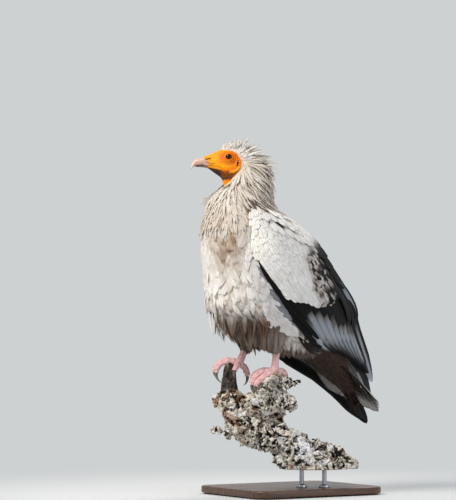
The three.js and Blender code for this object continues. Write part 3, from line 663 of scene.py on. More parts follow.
def body_marks(p):
    """Markings of neck, trunk and thighs at points in the model's frame, painted shade among them."""
    x, y, z = p[..., 0], p[..., 1], p[..., 2]
    cloud, fleck = waves(p, 34, 3), waves(p, 13, 4)
    neck = smooth(455, 520, z)
    breast = smooth(400, 440, z)
    stain = (0.05 + 0.06 * cloud + neck * (0.19 + 0.12 * fleck) + 0.13 * breast
             + mix(0.12, 0.24, breast) * smooth(0.2, 1.0, fleck))
    spot = np.exp(-(((x - STAIN_SPOT[0]) / 32) ** 2 + ((y - STAIN_SPOT[1]) / 30) ** 2
                    + ((z - STAIN_SPOT[2]) / 36) ** 2))
    stain = stain + spot * (0.74 + 0.3 * fleck)
    outside = (smooth(20, 52, np.abs(x)) * smooth(-62, -32, y) * smooth(24, 0, y)
               * smooth(240, 268, z))
    # Flank: tan streaks in the stain, and painted shade between the lower breast's lobes in the soil share.
    # The band at 334 mm is painted shade laid as tan stain.
    flank = bump(z, 336, 30) * smooth(-10, 34, np.abs(x)) * smooth(-135, -70, y)
    stain = stain + flank * (0.3 + 0.35 * fleck) + 0.4 * bump(z, 334, 24) * smooth(-0.1, 0.7, fleck)
    # Belly and thighs: dirt and painted shade in one share, with less of it on the thighs' outer sides.
    belly = smooth(332, 308, z + 5 * fleck) * smooth(60, 10, y)
    soil_and_shade = belly * (0.93 + 0.07 * cloud) + flank * smooth(0.1, 0.8, fleck) * 0.75
    soil_and_shade = soil_and_shade * (1 - outside * (0.35 + 0.6 * smooth(-0.2, 0.6, fleck)))
    soil_and_shade = np.maximum(soil_and_shade, 0.4 * spot ** 2 * smooth(-0.6, 0.6, fleck))
    # Painted shade under the tail, in the soil and black shares.
    vent_shade = smooth(0, 34, y) * smooth(300, 268, z)
    a, _, up = from_head(p)
    # Painted shade in the gaps of the nape's mane.
    nape = smooth(-16, -40, a) * smooth(-14, -38, up) * smooth(-134, -108, up)
    soil_and_shade = np.maximum(soil_and_shade, np.maximum(vent_shade, 0.9 * nape))
    return np.clip(together(stain, 0.62 * vent_shade, 0 * z, soil_and_shade), 0, 1)


# How far along the wing the white coverts reach, by place across it, and where silver starts.
PANEL_EDGE = ([0, 0.02, 0.027, 0.035, 0.05, 0.07, 0.115, 0.165, 0.24, 0.295, 0.365, 0.46, 0.55, 0.7, 1],
              [0.15, 0.2, 0.24, 0.275, 0.3, 0.323, 0.343, 0.37, 0.385, 0.408, 0.438, 0.45, 0.45, 0.43, 0.4])
SILVER_EDGE = ([0, 0.025, 0.035, 0.085, 0.145, 0.18, 0.235, 0.35, 0.46, 0.68, 1],
               [0.68, 0.64, 0.6, 0.52, 0.455, 0.45, 0.473, 0.508, 0.555, 0.613, 0.66])
# The furrow between the scapulars and the coverts: places along and across the wing.
GROOVE = ([0, 0.02, 0.037, 0.06, 0.088, 0.115, 0.145, 0.173, 0.2, 0.24, 0.33],
          [0.42, 0.46, 0.515, 0.6, 0.74, 0.76, 0.81, 0.85, 0.87, 0.88, 0.97])


def wing_marks(u, v, p):
    """Markings of the folded wing at places along and across it."""
    fleck, cloud = waves(p, 12, 5), waves(p, 40, 6)
    edge = np.interp(v, *PANEL_EDGE)
    past = v - 0.455 + 1.3 * (u - 0.315)
    mottle = smooth(-0.03, 0.05, past + 0.02 * fleck) * smooth(0.2, 0.25, u)
    streak = np.sin(150 * v + 2.5 * cloud + 1.5 * fleck)
    black = mottle * smooth(-0.3, 0.4, 0.8 * streak + 4.6 * past - 0.8)
    black = np.maximum(black, smooth(0.0, 0.03, u - edge - 0.012))
    # Painted shadow along the furrow where the scapulars overlap the coverts.
    furrow_shadow = bump(v, np.interp(u, *GROOVE) - 0.02, 0.022) * smooth(0.02, 0.035, u) * smooth(0.22, 0.15, u)
    black = np.maximum(black, 0.97 * furrow_shadow * smooth(-0.9, -0.3, fleck))
    stain = 0.02 + 0.04 * cloud + mottle * (0.4 + 0.3 * streak)
    stain = stain + 0.22 * bump(u, 0.02, 0.06) * bump(v, 0.3, 0.3) * smooth(0, 0.8, fleck)
    silver = 0.16 * smooth(0.1, 0.4, u) * (1 - mottle) * (0.6 + 0.4 * cloud)
    return np.clip(together(stain, black, silver, mottle * 0.3), 0, 1)


# ------------------------------------------------------------------ the face
# Where the bare face ends: heights and how far ahead of the eye its edge is there.
BARE_EDGE = ([-60, -52, -45, -36, -31, -26, -18.5, -10, -2, 7, 10.5, 12, 13.5, 16],
             [3.5, 1, -2, -7.6, -12.6, -18, -21.5, -22.5, -19.5, -12.5, -6, 4, 14, 24])
MOUTH = ((46, -14.6), (30, -15.6), (20, -17.2), (12, -19.8))
JAW = ((40, -17.6), (30, -21.5), (20, -25), (8, -28.5), (-1, -30))
JAW_HOLLOW = ((24, -29), (12, -32), (3, -36), (-6, -33))
JAW_SHADE = ((-19, -23.6), (-12, -29), (-3.5, -33.5), (3.7, -39.3))
CHEEK_FOLD = ((-2.5, -27.4), (-9, -26.8), (-15, -23.6), (-19, -18.6))
CHEEK_UNDER = ((-2, -30.4), (-10, -29.8), (-17, -26), (-21, -20.6))
NOSTRIL = ((40.6, -3.6), (32.4, -2.4))
EAR = ((-16.6, -8.6), (-15.2, -15.6))
BROW = ((11, 6), (3, 9.6), (-6, 9.2), (-12, 4.4))
CERE_CREASE = ((43, -7.6), (36, -10), (30, -12.6), (25, -12))
# Millimetres from the head's middle plane between which a fold fades in.
EVERYWHERE, NEAR_TOP, ON_SIDE = (-2, -1), (1, 4), (3, 7)
# What each line does to the skin: ridges and, below 0, furrows as (height, distance from the line,
# half width), and where it fades in.
FOLDS = (
    (MOUTH, ((0.55, 0, 2.4), (-1.2, 0, 0.7)), EVERYWHERE), (JAW, ((0.7, 0, 2.0),), ON_SIDE),
    (JAW_HOLLOW, ((-1.1, 0, 3.4),), ON_SIDE), (CHEEK_FOLD, ((1.3, 0, 1.5),), ON_SIDE),
    (CHEEK_UNDER, ((-0.9, 0, 1.2),), ON_SIDE), (NOSTRIL, ((0.45, 2.0, 0.8), (-1.9, 0, 0.85)), NEAR_TOP),
    (EAR, ((0.7, 2.6, 0.9), (-2.6, 0, 1.25)), ON_SIDE), (BROW, ((0.8, 0, 1.6),), ON_SIDE),
    (CERE_CREASE, ((-0.5, 0, 0.7),), ON_SIDE),
)


def bareness(a, u):
    return smooth(-1.2, 1.2, a - np.interp(u, *BARE_EDGE))


def lid_folds(a, u):
    """Rings of loose skin round the eye, deepest below and behind it."""
    ring = np.hypot(a / 1.08, u)
    where = 0.3 + 0.7 * smooth(-0.5, 0.9, (-0.6 * a - 0.8 * u) / np.maximum(ring, 1))
    ridges = bump(ring, 7.2, 0.9) * 0.4 + bump(ring, 10.1, 1.0) * 0.5 + bump(ring, 13.2, 1.0) * 0.35
    creases = bump(ring, 8.7, 0.75) + 0.9 * bump(ring, 11.7, 0.75) + 0.5 * bump(ring, 14.6, 0.7)
    return ridges * where, creases * where


def face_relief(a, side, u):
    """How far the bare skin's folds stand above, or lie below, its smooth shape."""
    ridges, creases = lid_folds(a, u)
    on_side = smooth(*ON_SIDE, side)
    near_eye = smooth(18, 14.5, np.hypot(a, u))
    height = (2.0 * ridges - 1.3 * creases) * near_eye * on_side
    for line, folds, fade in FOLDS:
        gap, _ = to_line(a, u, *line)
        height += sum(rise * bump(gap, off, half) for rise, off, half in folds) * smooth(*fade, side)
    lore = np.exp(-(((a - 13) / 5) ** 2 + ((u + 2) / 4) ** 2))
    height -= 0.7 * lore * on_side
    strands = np.sin(1.35 * u + 0.9 * a) * np.sin(0.8 * a - 0.4 * u + 1.3 * np.sin(0.5 * u))
    height += 0.16 * strands * smooth(30, 24, a) * on_side
    throat = smooth(-34, -42, u)
    height += throat * 0.45 * np.sin(2.1 * side + 0.35 * u)
    wrinkles = np.abs(np.sin(1.1 * a + 0.7 * np.sin(0.9 * u) + 0.35 * u))
    height -= 0.22 * (1 - wrinkles) ** 2 * smooth(34, 26, a) * smooth(9, 13, np.hypot(a, u))
    return height * bareness(a, u)


def face_shares(a, side, u):
    """Shares of yellow, olive shade, dark and bare skin. Olive and most of dark are painted shade, and the
    lids' ridges get a painted highlight in yellow.
    """
    ridges, creases = lid_folds(a, u)
    on_side = smooth(*ON_SIDE, side)
    cere = smooth(11, 26, a)
    cheek = np.exp(-(((a - 10) / 17) ** 2 + ((u + 16.5) / 5.5) ** 2))
    fold, _ = to_line(a, u, *CHEEK_FOLD)
    mottling = 0.5 + 0.5 * np.sin(0.55 * a + 1.1 * np.sin(0.4 * u)) * np.sin(0.6 * u + 0.3 * a)
    # Painted highlight: the lids' ridges are yellower.
    mottling = mottling + 2.4 * ridges * on_side * smooth(18, 14, np.hypot(a, u))
    forehead = 0.6 * smooth(4, 12, u) * smooth(-8, 4, a)
    throat = smooth(-38, -44, u)
    yellow = np.clip(0.9 * cere + cheek + 1.4 * bump(fold, 0, 1.9) + 0.25 * mottling + forehead
                     + 0.75 * throat, 0, 1)
    line = np.interp(a, [-14, -6, -2.8, 7.4, 19, 30, 39, 46],
                     [-28, -27, -24, -24, -20.6, -17.8, -16.2, -15.6])
    below = smooth(-0.4, 2.2, line - u) * smooth(-42, -37, u)
    under, _ = to_line(a, u, *JAW_SHADE)
    olive = np.maximum(below * (0.78 + 0.3 * smooth(8, 22, a) + 0.24 * smooth(-33, -38, u)),
                       0.85 * bump(under, 0, 1.7) * on_side)
    olive = olive * (1 - 0.9 * bump(fold, 0, 1.9) * on_side)
    mouth, spot = to_line(a, u, *MOUTH)
    nostril, _ = to_line(a, u, *NOSTRIL)
    ear, _ = to_line(a, u, *EAR)
    crease, _ = to_line(a, u, *CERE_CREASE)
    speck = 0.5 + 0.5 * np.sin(1.7 * a) * np.sin(2.3 * u + 0.8 * a)
    # Dark share: painted shade in the nostrils, ear, mouth line and lid creases, and the cere crease's own
    # brown specks.
    dark = (bump(nostril, 0, 1.05) * smooth(*NEAR_TOP, side) + bump(ear, 0, 1.5) * on_side
            + 0.75 * bump(mouth, 0, 0.6) * (1 - 0.6 * spot)
            + (0.3 + 0.4 * speck) * bump(crease, 0, 1.4) * smooth(44, 38, a)
            + 0.62 * creases * on_side * smooth(17.5, 14, np.hypot(a, u)))
    return np.clip(together(yellow, olive, dark, bareness(a, u)), 0, 1)


def denser(count, low, high, *spots):
    """Places from low to high, closer together round (middle, half width, how much)."""
    fine = np.linspace(low, high, 2000)
    density = 1 + sum(more * bump(fine, middle, half) for middle, half, more in spots)
    total = np.concatenate([[0], np.cumsum((density[1:] + density[:-1]) / 2)])
    return np.interp(np.linspace(0, total[-1], count), total, fine)


LID_RADIUS = 8.0
LID_THICK = 1.3
EYE_OPENING = (5.4, 4.5)  # half length and half height


def head_grid(rings, sides):
    """The skin of head and upper neck with lids, folds, nostrils and ears."""
    along = denser(rings, 0, 1, (0.5, 0.14, 2.4), (0.16, 0.06, 0.6))
    around = denser(sides + 1, 0, 1, (0.18, 0.07, 2.2), (0.82, 0.07, 2.2))[:-1]
    u, v = lattice(along, around)
    point, _, _, normal = HEAD_SURFACE.frame(u, v)
    a, left, up = from_head(point)
    point = point + normal * face_relief(a, np.abs(left), up)[..., None]
    a, left, up = from_head(point)
    side = np.abs(left)
    ring = np.hypot(a / 1.04, up)
    lid = EYE_SPREAD + np.sqrt(np.maximum(LID_RADIUS ** 2 - ring ** 2, 0))
    share = np.clip(0.5 + 0.5 * (lid - side) / LID_THICK, 0, 1) * (ring < LID_RADIUS) * (side > 5)
    raised = mix(side, lid, share) + LID_THICK * share * (1 - share)
    opening = np.hypot(a / EYE_OPENING[0], (up + 0.1) / EYE_OPENING[1])
    raised = raised - 3.4 * smooth(1.08, 0.92, opening) * (side > 5)
    return on_head(a, np.sign(left) * raised, up)


# ------------------------------------------------------------------ finishes
SHAFT_HALF = 0.0003  # metres from a feather's middle line to the edge of its shaft
BARBS = 5200.0  # how close the barbs lie
IRIS_SPOKES = 46


def plumage_finish(name, look, base, gloss=0.62, root=0.8):
    """Feather: base colour, stains and black by its markings, with shaft and barbs, and painted shade towards
    its root.
    """
    f = Finish(name, base, Roughness=gloss, Specular_IOR_Level=0.12)
    stain, black, silver, soil_and_shade = f.values("marks")
    reach, across, chance, along = f.values("vane")
    f.lay(f.spread(f.grain(0.012, 2), 0.35, 0.65), look.cream, 0.25)
    f.lay(stain, look.tan)
    f.lay(soil_and_shade, look.soil_and_shade)
    f.lay(silver, look.silver)
    side = f.math("ABSOLUTE", across)
    f.lay(f.spread(side, SHAFT_HALF * 3, SHAFT_HALF), look.tan, 0.3)
    barb = f.math("SINE", f.times(f.minus(reach, f.times(side, 1.3)), BARBS))
    tone_and_root_shade = f.plus(f.times(chance, 0.12), 0.91)
    # Painted shade: the colour darkens towards the feather's root.
    tone_and_root_shade = f.times(tone_and_root_shade, f.spread(along, 0.0, 0.5, root, 1.0))
    tone_and_root_shade = f.times(tone_and_root_shade, f.plus(f.times(barb, 0.035), 1.0))
    grey = f.made("ShaderNodeCombineColor", {0: tone_and_root_shade, 1: tone_and_root_shade, 2: tone_and_root_shade})
    f.lay(1.0, grey, way="MULTIPLY")
    f.lay(black, look.black)
    return f.done(barb, 0.00008)


def face_finish(look):
    """Bare face: orange skin, yellow on cere and cheek, creased and pored, with painted shade under the jaw
    and in its hollows.
    """
    f = Finish("face_skin", look.orange, Roughness=0.5, Subsurface_Weight=0.08,
               Subsurface_Scale=0.003, Specular_IOR_Level=0.18)
    yellow, olive, dark, bare = f.values("face")
    _, _, horn, soil_and_shade = f.values("marks")
    pores = f.cells(0.0011)
    f.lay(f.spread(f.grain(0.006, 4, 0.6), 0.38, 0.66), srgb(222, 92, 14), 0.45)
    f.lay(yellow, look.yellow)
    f.lay(f.spread(pores, 0.25, 0.0), srgb(196, 84, 10), 0.25)
    f.lay(olive, look.olive)
    f.lay(horn, look.horn)
    # Painted shade in the nostrils, ear, mouth line and lid creases, with brown specks on the cere crease.
    f.lay(dark, srgb(64, 20, 6))
    down = f.blend(f.spread(f.grain(0.004, 3), 0.4, 0.6), srgb(222, 210, 194), srgb(196, 180, 160))
    f.shade = f.blend(bare, f.blend(soil_and_shade, down, look.soil_and_shade), f.shade)
    wrinkle = f.cells(0.0022, "F1", f.stretched((1, 1, 1.6)))
    return f.done(f.plus(f.times(pores, 0.5), wrinkle), 0.00022)


def down_finish(look):
    """The skin below the coat: down in the coat's own markings, painted darker than the coat as shade where
    it shows between the feathers.
    """
    f = Finish("down", srgb(196, 184, 166), Roughness=0.9)
    stain, black, silver, soil_and_shade = f.values("marks")
    fluff = f.grain(0.003, 4, 0.7)
    f.lay(f.spread(fluff, 0.35, 0.65), srgb(142, 126, 106))
    f.lay(stain, look.tan)
    f.lay(soil_and_shade, look.soil_and_shade)
    f.lay(silver, look.silver)
    f.lay(black, look.black)
    return f.done(fluff, 0.0008)


def leg_finish(name, look):
    """Bare pink leg: net of small scales, with painted shade in the creases between them."""
    f = Finish(name, look.leg, Roughness=0.5, Subsurface_Weight=0.1, Subsurface_Scale=0.003)
    plate = f.spread(f.cells(0.0016, "DISTANCE_TO_EDGE"), 0.0, 0.16)
    f.lay(f.spread(f.grain(0.007, 3), 0.35, 0.65), srgb(226, 146, 154))
    f.lay(f.spread(f.grain(0.009, 2), 0.5, 0.7), srgb(246, 214, 208))
    # Painted shade in the creases between the scales.
    f.lay(f.minus(0.75, f.times(plate, 0.75)), srgb(122, 58, 66))
    return f.done(plate, 0.0006)


def horn_finish(look):
    """Bill: pinkish grey horn, paler at the hooked tip, with fine lengthwise growth lines and painted shade
    along its cutting edge.
    """
    f = Finish("bill_horn", look.horn, Roughness=0.34, Specular_IOR_Level=0.5)
    tip, edge, top, _ = f.values("horn")
    streak = f.grain(0.0016, 3, 0.5, 0.4, f.stretched((1, 1, 4)))
    f.lay(f.spread(streak, 0.35, 0.7), srgb(190, 150, 138), 0.6)
    f.lay(top, srgb(214, 190, 172), 0.35)
    f.lay(tip, srgb(222, 205, 186))
    # Painted shade along the cutting edge and over the lower bill.
    f.lay(edge, srgb(66, 40, 40))
    f.lay(f.spread(f.grain(0.0023, 4, 0.7), 0.6, 0.72), srgb(118, 86, 78), 0.5)
    return f.done(streak, 0.00012, f.spread(streak, 0, 1, 0.28, 0.48))


def claw_finish(look):
    """Claw: dark horn, paler towards its point."""
    f = Finish("claw_horn", look.claw, Roughness=0.3, Specular_IOR_Level=0.55)
    tip, _, _, _ = f.values("horn")
    streak = f.grain(0.0012, 3, 0.6)
    f.lay(f.spread(streak, 0.3, 0.7), srgb(52, 44, 42))
    f.lay(tip, srgb(168, 158, 150), 0.55)
    return f.done(streak, 0.0001, f.spread(streak, 0, 1, 0.22, 0.42))


def eye_finish(look):
    """Eye: black pupil, dark brown iris with fine spokes, wet surface."""
    f = Finish("eye", look.iris, Roughness=0.1, Coat_Weight=0.08, Coat_Roughness=0.03,
               Specular_IOR_Level=0.16)
    out, turn, _, _ = f.values("iris")
    f.lay(f.spread(f.math("SINE", f.times(turn, IRIS_SPOKES * TURN)), -1, 1), srgb(84, 36, 14), 0.4)
    f.shade = f.blend(f.spread(out, 0.46, 0.5), srgb(4, 3, 3), f.shade)
    f.lay(f.spread(out, 0.84, 0.96), srgb(12, 6, 5))
    return f.done()


# ------------------------------------------------------------------ skin, legs and bare parts
def limb_frame(stations, sideways):
    """Places round a limb: u along it, v turning from its upper side. Sideways crosses it."""
    def place(u, v, grow):
        row, side, top = round_line(stations, u, np.asarray(sideways, float))
        turn = (TURN * v)[..., None]
        radius = row[..., 3:4] + grow[..., None]
        return row[..., :3] + (top * np.cos(turn) + side * np.sin(turn)) * radius
    return place


def toe_sideways(path):
    way = np.array(path[-1][:3], float) - path[0][:3]
    return unit(np.cross(way, UPWARD))


def limb_grid(stations, sideways, rings, sides, knuckles=0.0, stouter=0.0):
    """Rings of points round a limb, swollen at its joints and, below them, at its pads."""
    u, v = round_grid(rings, sides)
    joints = np.cos(TURN * u * (len(stations) - 1)) * knuckles
    sole = np.clip(-np.cos(TURN * v), 0, 1) * knuckles * 1.4 * np.abs(np.sin(math.pi * u * 3.5))
    return limb_frame(stations, sideways)(u, v, joints + sole + stouter)


def voxel_skin(name, grids, size, passes):
    """One closed skin over overlapping closed tubes."""
    parts = [add_object(shell(name, grid)) for grid in grids]
    made = bmesh.new()
    for part in parts:
        made.from_mesh(part.data)
    mesh = bpy.data.meshes.new(name)
    made.to_mesh(mesh)
    made.free()
    for part in parts:
        bpy.data.meshes.remove(part.data)
    piece = add_object(mesh)
    remesh = piece.modifiers.new("one skin", "REMESH")
    remesh.mode = "VOXEL"
    remesh.voxel_size = size * MM
    remesh.use_smooth_shade = True
    soften = piece.modifiers.new("soft", "SMOOTH")
    soften.iterations = passes
    soften.factor = 0.5
    return applied(piece)


def unwrap_into(piece, area):
    """Unwraps a piece by its own faces and fits that into an area of the skin's unwrap."""
    bpy.context.view_layer.objects.active = piece
    bpy.ops.object.select_all(action="DESELECT")
    piece.select_set(True)
    while piece.data.uv_layers:
        piece.data.uv_layers.remove(piece.data.uv_layers[0])
    piece.data.uv_layers.new(name="OFBake")
    bpy.ops.object.mode_set(mode="EDIT")
    bpy.ops.mesh.select_all(action="SELECT")
    bpy.ops.uv.smart_project(angle_limit=math.radians(60), island_margin=0.01)
    bpy.ops.object.mode_set(mode="OBJECT")
    x0, y0, x1, y1 = area
    layer = piece.data.uv_layers["OFBake"]
    spots = np.empty(len(layer.data) * 2, np.float32)
    layer.data.foreach_get("uv", spots)
    spots = spots.reshape(-1, 2) * (x1 - x0, y1 - y0) + (x0, y0)
    layer.data.foreach_set("uv", spots.astype(np.float32).ravel())


def coat_depth(u, v):
    """How far the skin lies below the coat's outer shape."""
    deep = np.interp(u, [0, 0.12, 0.25, 0.4, 0.7, 0.85, 1], [5, 8, 11, 12, 11, 9, 5])
    return deep * mix(0.7, 1.0, 0.5 + 0.5 * np.cos(TURN * v))


THIGH_DEPTH = ([0, 0.5, 0.8, 1], [8, 7, 4, 1.5])
THROAT_LOWEST = 0.525  # metres above the frame's zero; the bare throat ends above it
COVERT_REACH = 0.5  # share of the folded wing's length with flesh below it


def wing_pad(surface):
    """The wing's flesh: a flat closed pad below the coverts."""
    u, v = lattice(np.linspace(0, COVERT_REACH, 46), np.linspace(0.05, 0.95, 40))
    thick = np.sin(math.pi * (v - 0.03) / 0.94)
    outer = surface.at(u, v, -4.5 - 0 * u)
    inner = surface.at(u, v, -4.7 - 7 * thick * np.sin(math.pi * np.clip(u + 0.05, 0, 0.5)))
    return np.concatenate([outer, inner[:, ::-1]], axis=1)


def points_of(mesh):
    spots = np.empty(len(mesh.vertices) * 3, np.float32)
    mesh.vertices.foreach_get("co", spots)
    return spots.reshape(-1, 3).astype(float) / MM


FACE, DOWN, LEG = range(3)  # the skin's three finishes


def kind_of(piece, number):
    """Gives all faces of a piece one of the skin's finishes."""
    piece.data.polygons.foreach_set("material_index", np.full(len(piece.data.polygons), number))
    return piece


def horn_share(a, up):
    """Where pinkish horn runs back from the bill below the cere."""
    back = np.interp(up, [-16, -13, -9, -5, 0, 3], [40, 36, 34.5, 40, 45, 46])
    return smooth(-1.6, 1.6, a - back)


def skin_values(mesh, marks=None, face=None):
    count = len(mesh.vertices)
    keep_values(mesh, "marks", np.zeros((count, 4)) if marks is None else marks)
    keep_values(mesh, "face", np.zeros((count, 4)) if face is None else face)


class VULTURE_OT_skin(bpy.types.Operator):
    """Makes the one skin of head, neck, trunk, wings, thighs, legs and feet"""

    bl_idname = "vulture.skin"
    bl_label = "Skin"

    def execute(self, context):
        look = context.scene.vulture_colours
        finishes = face_finish(look), down_finish(look), shared("leg_skin", leg_finish, look)
        parts = [self.head(), self.body()]
        for k, name in enumerate(SIDES):
            parts += [self.thigh(k, name), self.wing(k, name)]
        parts += [self.foot(k, leg) for k, leg in enumerate(LEGS.values())]
        for part in parts:
            for finish in finishes:
                part.data.materials.append(finish)
        skin, *others = parts
        skin.name = "skin"
        for part in others:
            union = skin.modifiers.new(part.name, "BOOLEAN")
            union.operation = "UNION"
            union.solver = "MANIFOLD"
            union.object = part
        applied(skin)
        for part in others:
            bpy.data.objects.remove(part)
        flesh = [f"{part}_{side}" for side in SIDES for part in ("thigh", "wing", "tarsus", "foot")]
        finished(skin, "face_skin", "head", "neck", "trunk", *flesh)
        return {"FINISHED"}

    @staticmethod
    def head():
        """Head and upper neck, all bare face or the down next to it."""
        mesh = shell("skin", head_grid(236, 176), (0.005, 0.505, 0.495, 0.995))
        p = points_of(mesh)
        a, left, up = from_head(p)
        marks = body_marks(p)
        # Painted shade on the skin below the back of the crest and the nape.
        marks[:, 3] = 0.9 * smooth(-26, -40, a) * smooth(-10, -30, up)
        marks[:, 2] = horn_share(a, up)
        skin_values(mesh, marks, face_shares(a, np.abs(left), up))
        return add_object(mesh)

    @staticmethod
    def body():
        """Neck and trunk, with the bare throat at its top."""
        u, v = round_grid(120, 96)
        mesh = shell("body", BODY_SURFACE.at(u, v, -coat_depth(u, v)), (0.005, 0.005, 0.995, 0.495))
        p = points_of(mesh)
        a, left, up = from_head(p)
        marks = body_marks(p)
        # Painted shade on the skin below the nape's hackles.
        nape = smooth(470, 500, p[:, 2]) * smooth(-115, -85, p[:, 1])
        marks[:, 3] = np.maximum(marks[:, 3], 0.95 * nape)
        shares = face_shares(a, np.abs(left), up)
        shares[:, 3] *= smooth(-59, -55, up) * smooth(2, -1, a - np.interp(up, [-59, -52, -48], [3, 9, 60]))
        skin_values(mesh, marks, shares)
        piece = kind_of(add_object(mesh), DOWN)
        for face in piece.data.polygons:
            if face.center[2] > THROAT_LOWEST:
                face.material_index = FACE
        return piece

    @staticmethod
    def thigh(k, name):
        """One thigh's flesh below its coat."""
        u, v = round_grid(36, 36)
        x = 0.505 + 0.125 * k
        grid = THIGH_SURFACES[name].at(u, v, -np.interp(u, *THIGH_DEPTH))
        mesh = shell("thigh", grid, (x, 0.755, x + 0.115, 0.995))
        skin_values(mesh, body_marks(points_of(mesh)))
        return kind_of(add_object(mesh), DOWN)

    @staticmethod
    def wing(k, name):
        """One wing's flesh below its coverts."""
        x = 0.505 + 0.25 * k
        mesh = shell("wing", wing_pad(WING_SURFACES[name]), (x, 0.505, x + 0.24, 0.745))
        skin_values(mesh)
        return kind_of(add_object(mesh), DOWN)

    @staticmethod
    def foot(k, leg):
        """Shank, ball of the foot and toes in one skin."""
        grids = [limb_grid(leg["tarsus"], (-1, 0, 0), 40, 20, 0.15, 0.75),
                 limb_grid(leg["pad"], (-1, 0, 0), 14, 20, 0, 0.4)]
        grids += [limb_grid(toe, toe_sideways(toe), 44, 18, 0.5, 0.4) for toe in leg["toes"]]
        piece = voxel_skin("leg", grids, 0.85, 3)
        x = 0.755 + 0.12 * k
        unwrap_into(piece, (x, 0.755, x + 0.115, 0.995))
        skin_values(piece.data)
        return kind_of(piece, LEG)


class VULTURE_OT_eyes(bpy.types.Operator):
    """Makes both eyes, each a ball with a raised front"""

    bl_idname = "vulture.eyes"
    bl_label = "Eyes"

    def execute(self, context):
        finish = eye_finish(context.scene.vulture_colours)
        u, v = round_grid(44, 64, 0.012, 0.985)
        for name, side in SIDES.items():
            polar, turn = math.pi * u, TURN * v
            radius = EYE_RADIUS + 0.45 * bump(polar, 0, 0.55)
            ball = on_head(radius * np.sin(polar) * np.cos(turn),
                           side * (EYE_SPREAD + radius * np.cos(polar)),
                           radius * np.sin(polar) * np.sin(turn))
            mesh = shell(f"eyeball_{name}", ball)
            a, _, up = from_head(points_of(mesh))
            out = np.hypot(a, up) / 5.2
            around = np.arctan2(up, a) / TURN
            keep_values(mesh, "iris", together(out, around, 0 * out))
            finished(add_object(mesh, finish), "eye", f"eye_{name}")
        return {"FINISHED"}


# Bill sections: ahead of the eyes, upper edge, lower edge, half width.
UPPER_BILL = [(40.5, 1.6, -14.2, 6.7), (45, 1.1, -14.4, 6.9), (50, -0.2, -14.5, 6.2),
              (55, -1.2, -14.3, 5.3), (59.5, -3.2, -15.1, 4.3), (63, -7, -17.2, 3.4),
              (65.2, -11.4, -20, 2.4), (66, -16.4, -22.3, 1.4), (65.6, -20.4, -23.2, 0.5)]
LOWER_BILL = [(34, -14.6, -17.4, 5), (39.6, -14.2, -18, 5.6), (45, -13.9, -17.3, 5),
              (51, -13.9, -16.6, 4), (56, -14.3, -16.5, 2.8), (58.6, -15.2, -16.4, 1.2)]


def bill_grid(table, rings, sides, keel, edge):
    """A bill half: rounded sections with a keel on top and thin cutting edges below."""
    u, v = lattice(denser(rings, 0, 1, (0.85, 0.2, 1.0)), np.arange(sides) / sides)
    row = spline(table, u)
    cos, sin = np.cos(TURN * v), np.sin(TURN * v)
    high = np.sign(cos) * np.abs(cos) ** keel
    wide = np.sign(sin) * np.abs(sin) ** 0.9 * mix(1.0, edge, smooth(-0.2, -1, cos))
    middle, half = (row[..., 1] + row[..., 2]) / 2, (row[..., 1] - row[..., 2]) / 2
    return on_head(row[..., 0], wide * row[..., 3], middle + high * half)


class VULTURE_OT_bill(bpy.types.Operator):
    """Makes the hooked upper bill and the lower bill"""

    bl_idname = "vulture.bill"
    bl_label = "Bill"

    def execute(self, context):
        finish = horn_finish(context.scene.vulture_colours)
        for name, table, keel, edge, node in (("beak_upper", UPPER_BILL, 0.94, 0.86, "bill_upper"),
                                              ("beak_lower", LOWER_BILL, 0.9, 0.8, "bill_lower")):
            mesh = shell(name, bill_grid(table, 84, 56, keel, edge))
            a, _, up = from_head(points_of(mesh))
            line = np.interp(a, [40, 55, 60, 63, 66], [-14.2, -14.2, -15.2, -17.4, -22])
            tip = smooth(58, 66, a) if node == "bill_upper" else 0 * a
            # Painted shade along the upper bill's cutting edge and over the whole lower bill.
            edge_shade = bump(up, line, 0.9) * smooth(64, 58, a) + (node == "bill_lower") * 0.7
            top = smooth(-6, 1, up)
            keep_values(mesh, "horn", np.clip(together(tip, edge_shade, top), 0, 1))
            finished(add_object(mesh, finish), "bill_horn", node)
        return {"FINISHED"}


class VULTURE_OT_claws(bpy.types.Operator):
    """Makes the eight curved claws, four to a foot"""

    bl_idname = "vulture.claws"
    bl_label = "Claws"

    def execute(self, context):
        finish = claw_finish(context.scene.vulture_colours)
        for name, leg in LEGS.items():
            for k, claw in enumerate(leg["claws"], 1):
                toe = np.array(leg["toes"][k - 1][-1][:3], float)
                start = np.array(claw[0][:3], float)
                path = [(*mix(start, toe, 0.8), claw[0][3] * 0.95), *claw]
                grid = limb_grid(path, toe_sideways(leg["toes"][k - 1]), 30, 18)
                mesh = shell(f"talon_{name}_{k}", grid)
                along = np.append(np.repeat(np.linspace(0, 1, 30), 18), [0, 1])
                keep_values(mesh, "horn", together(along, 0 * along, 0 * along))
                finished(add_object(mesh, finish), "claw_horn", f"claw_{name}_{k}")
        return {"FINISHED"}


# ------------------------------------------------------------------ feathers
MOST_TRIANGLES = 200000  # in one piece


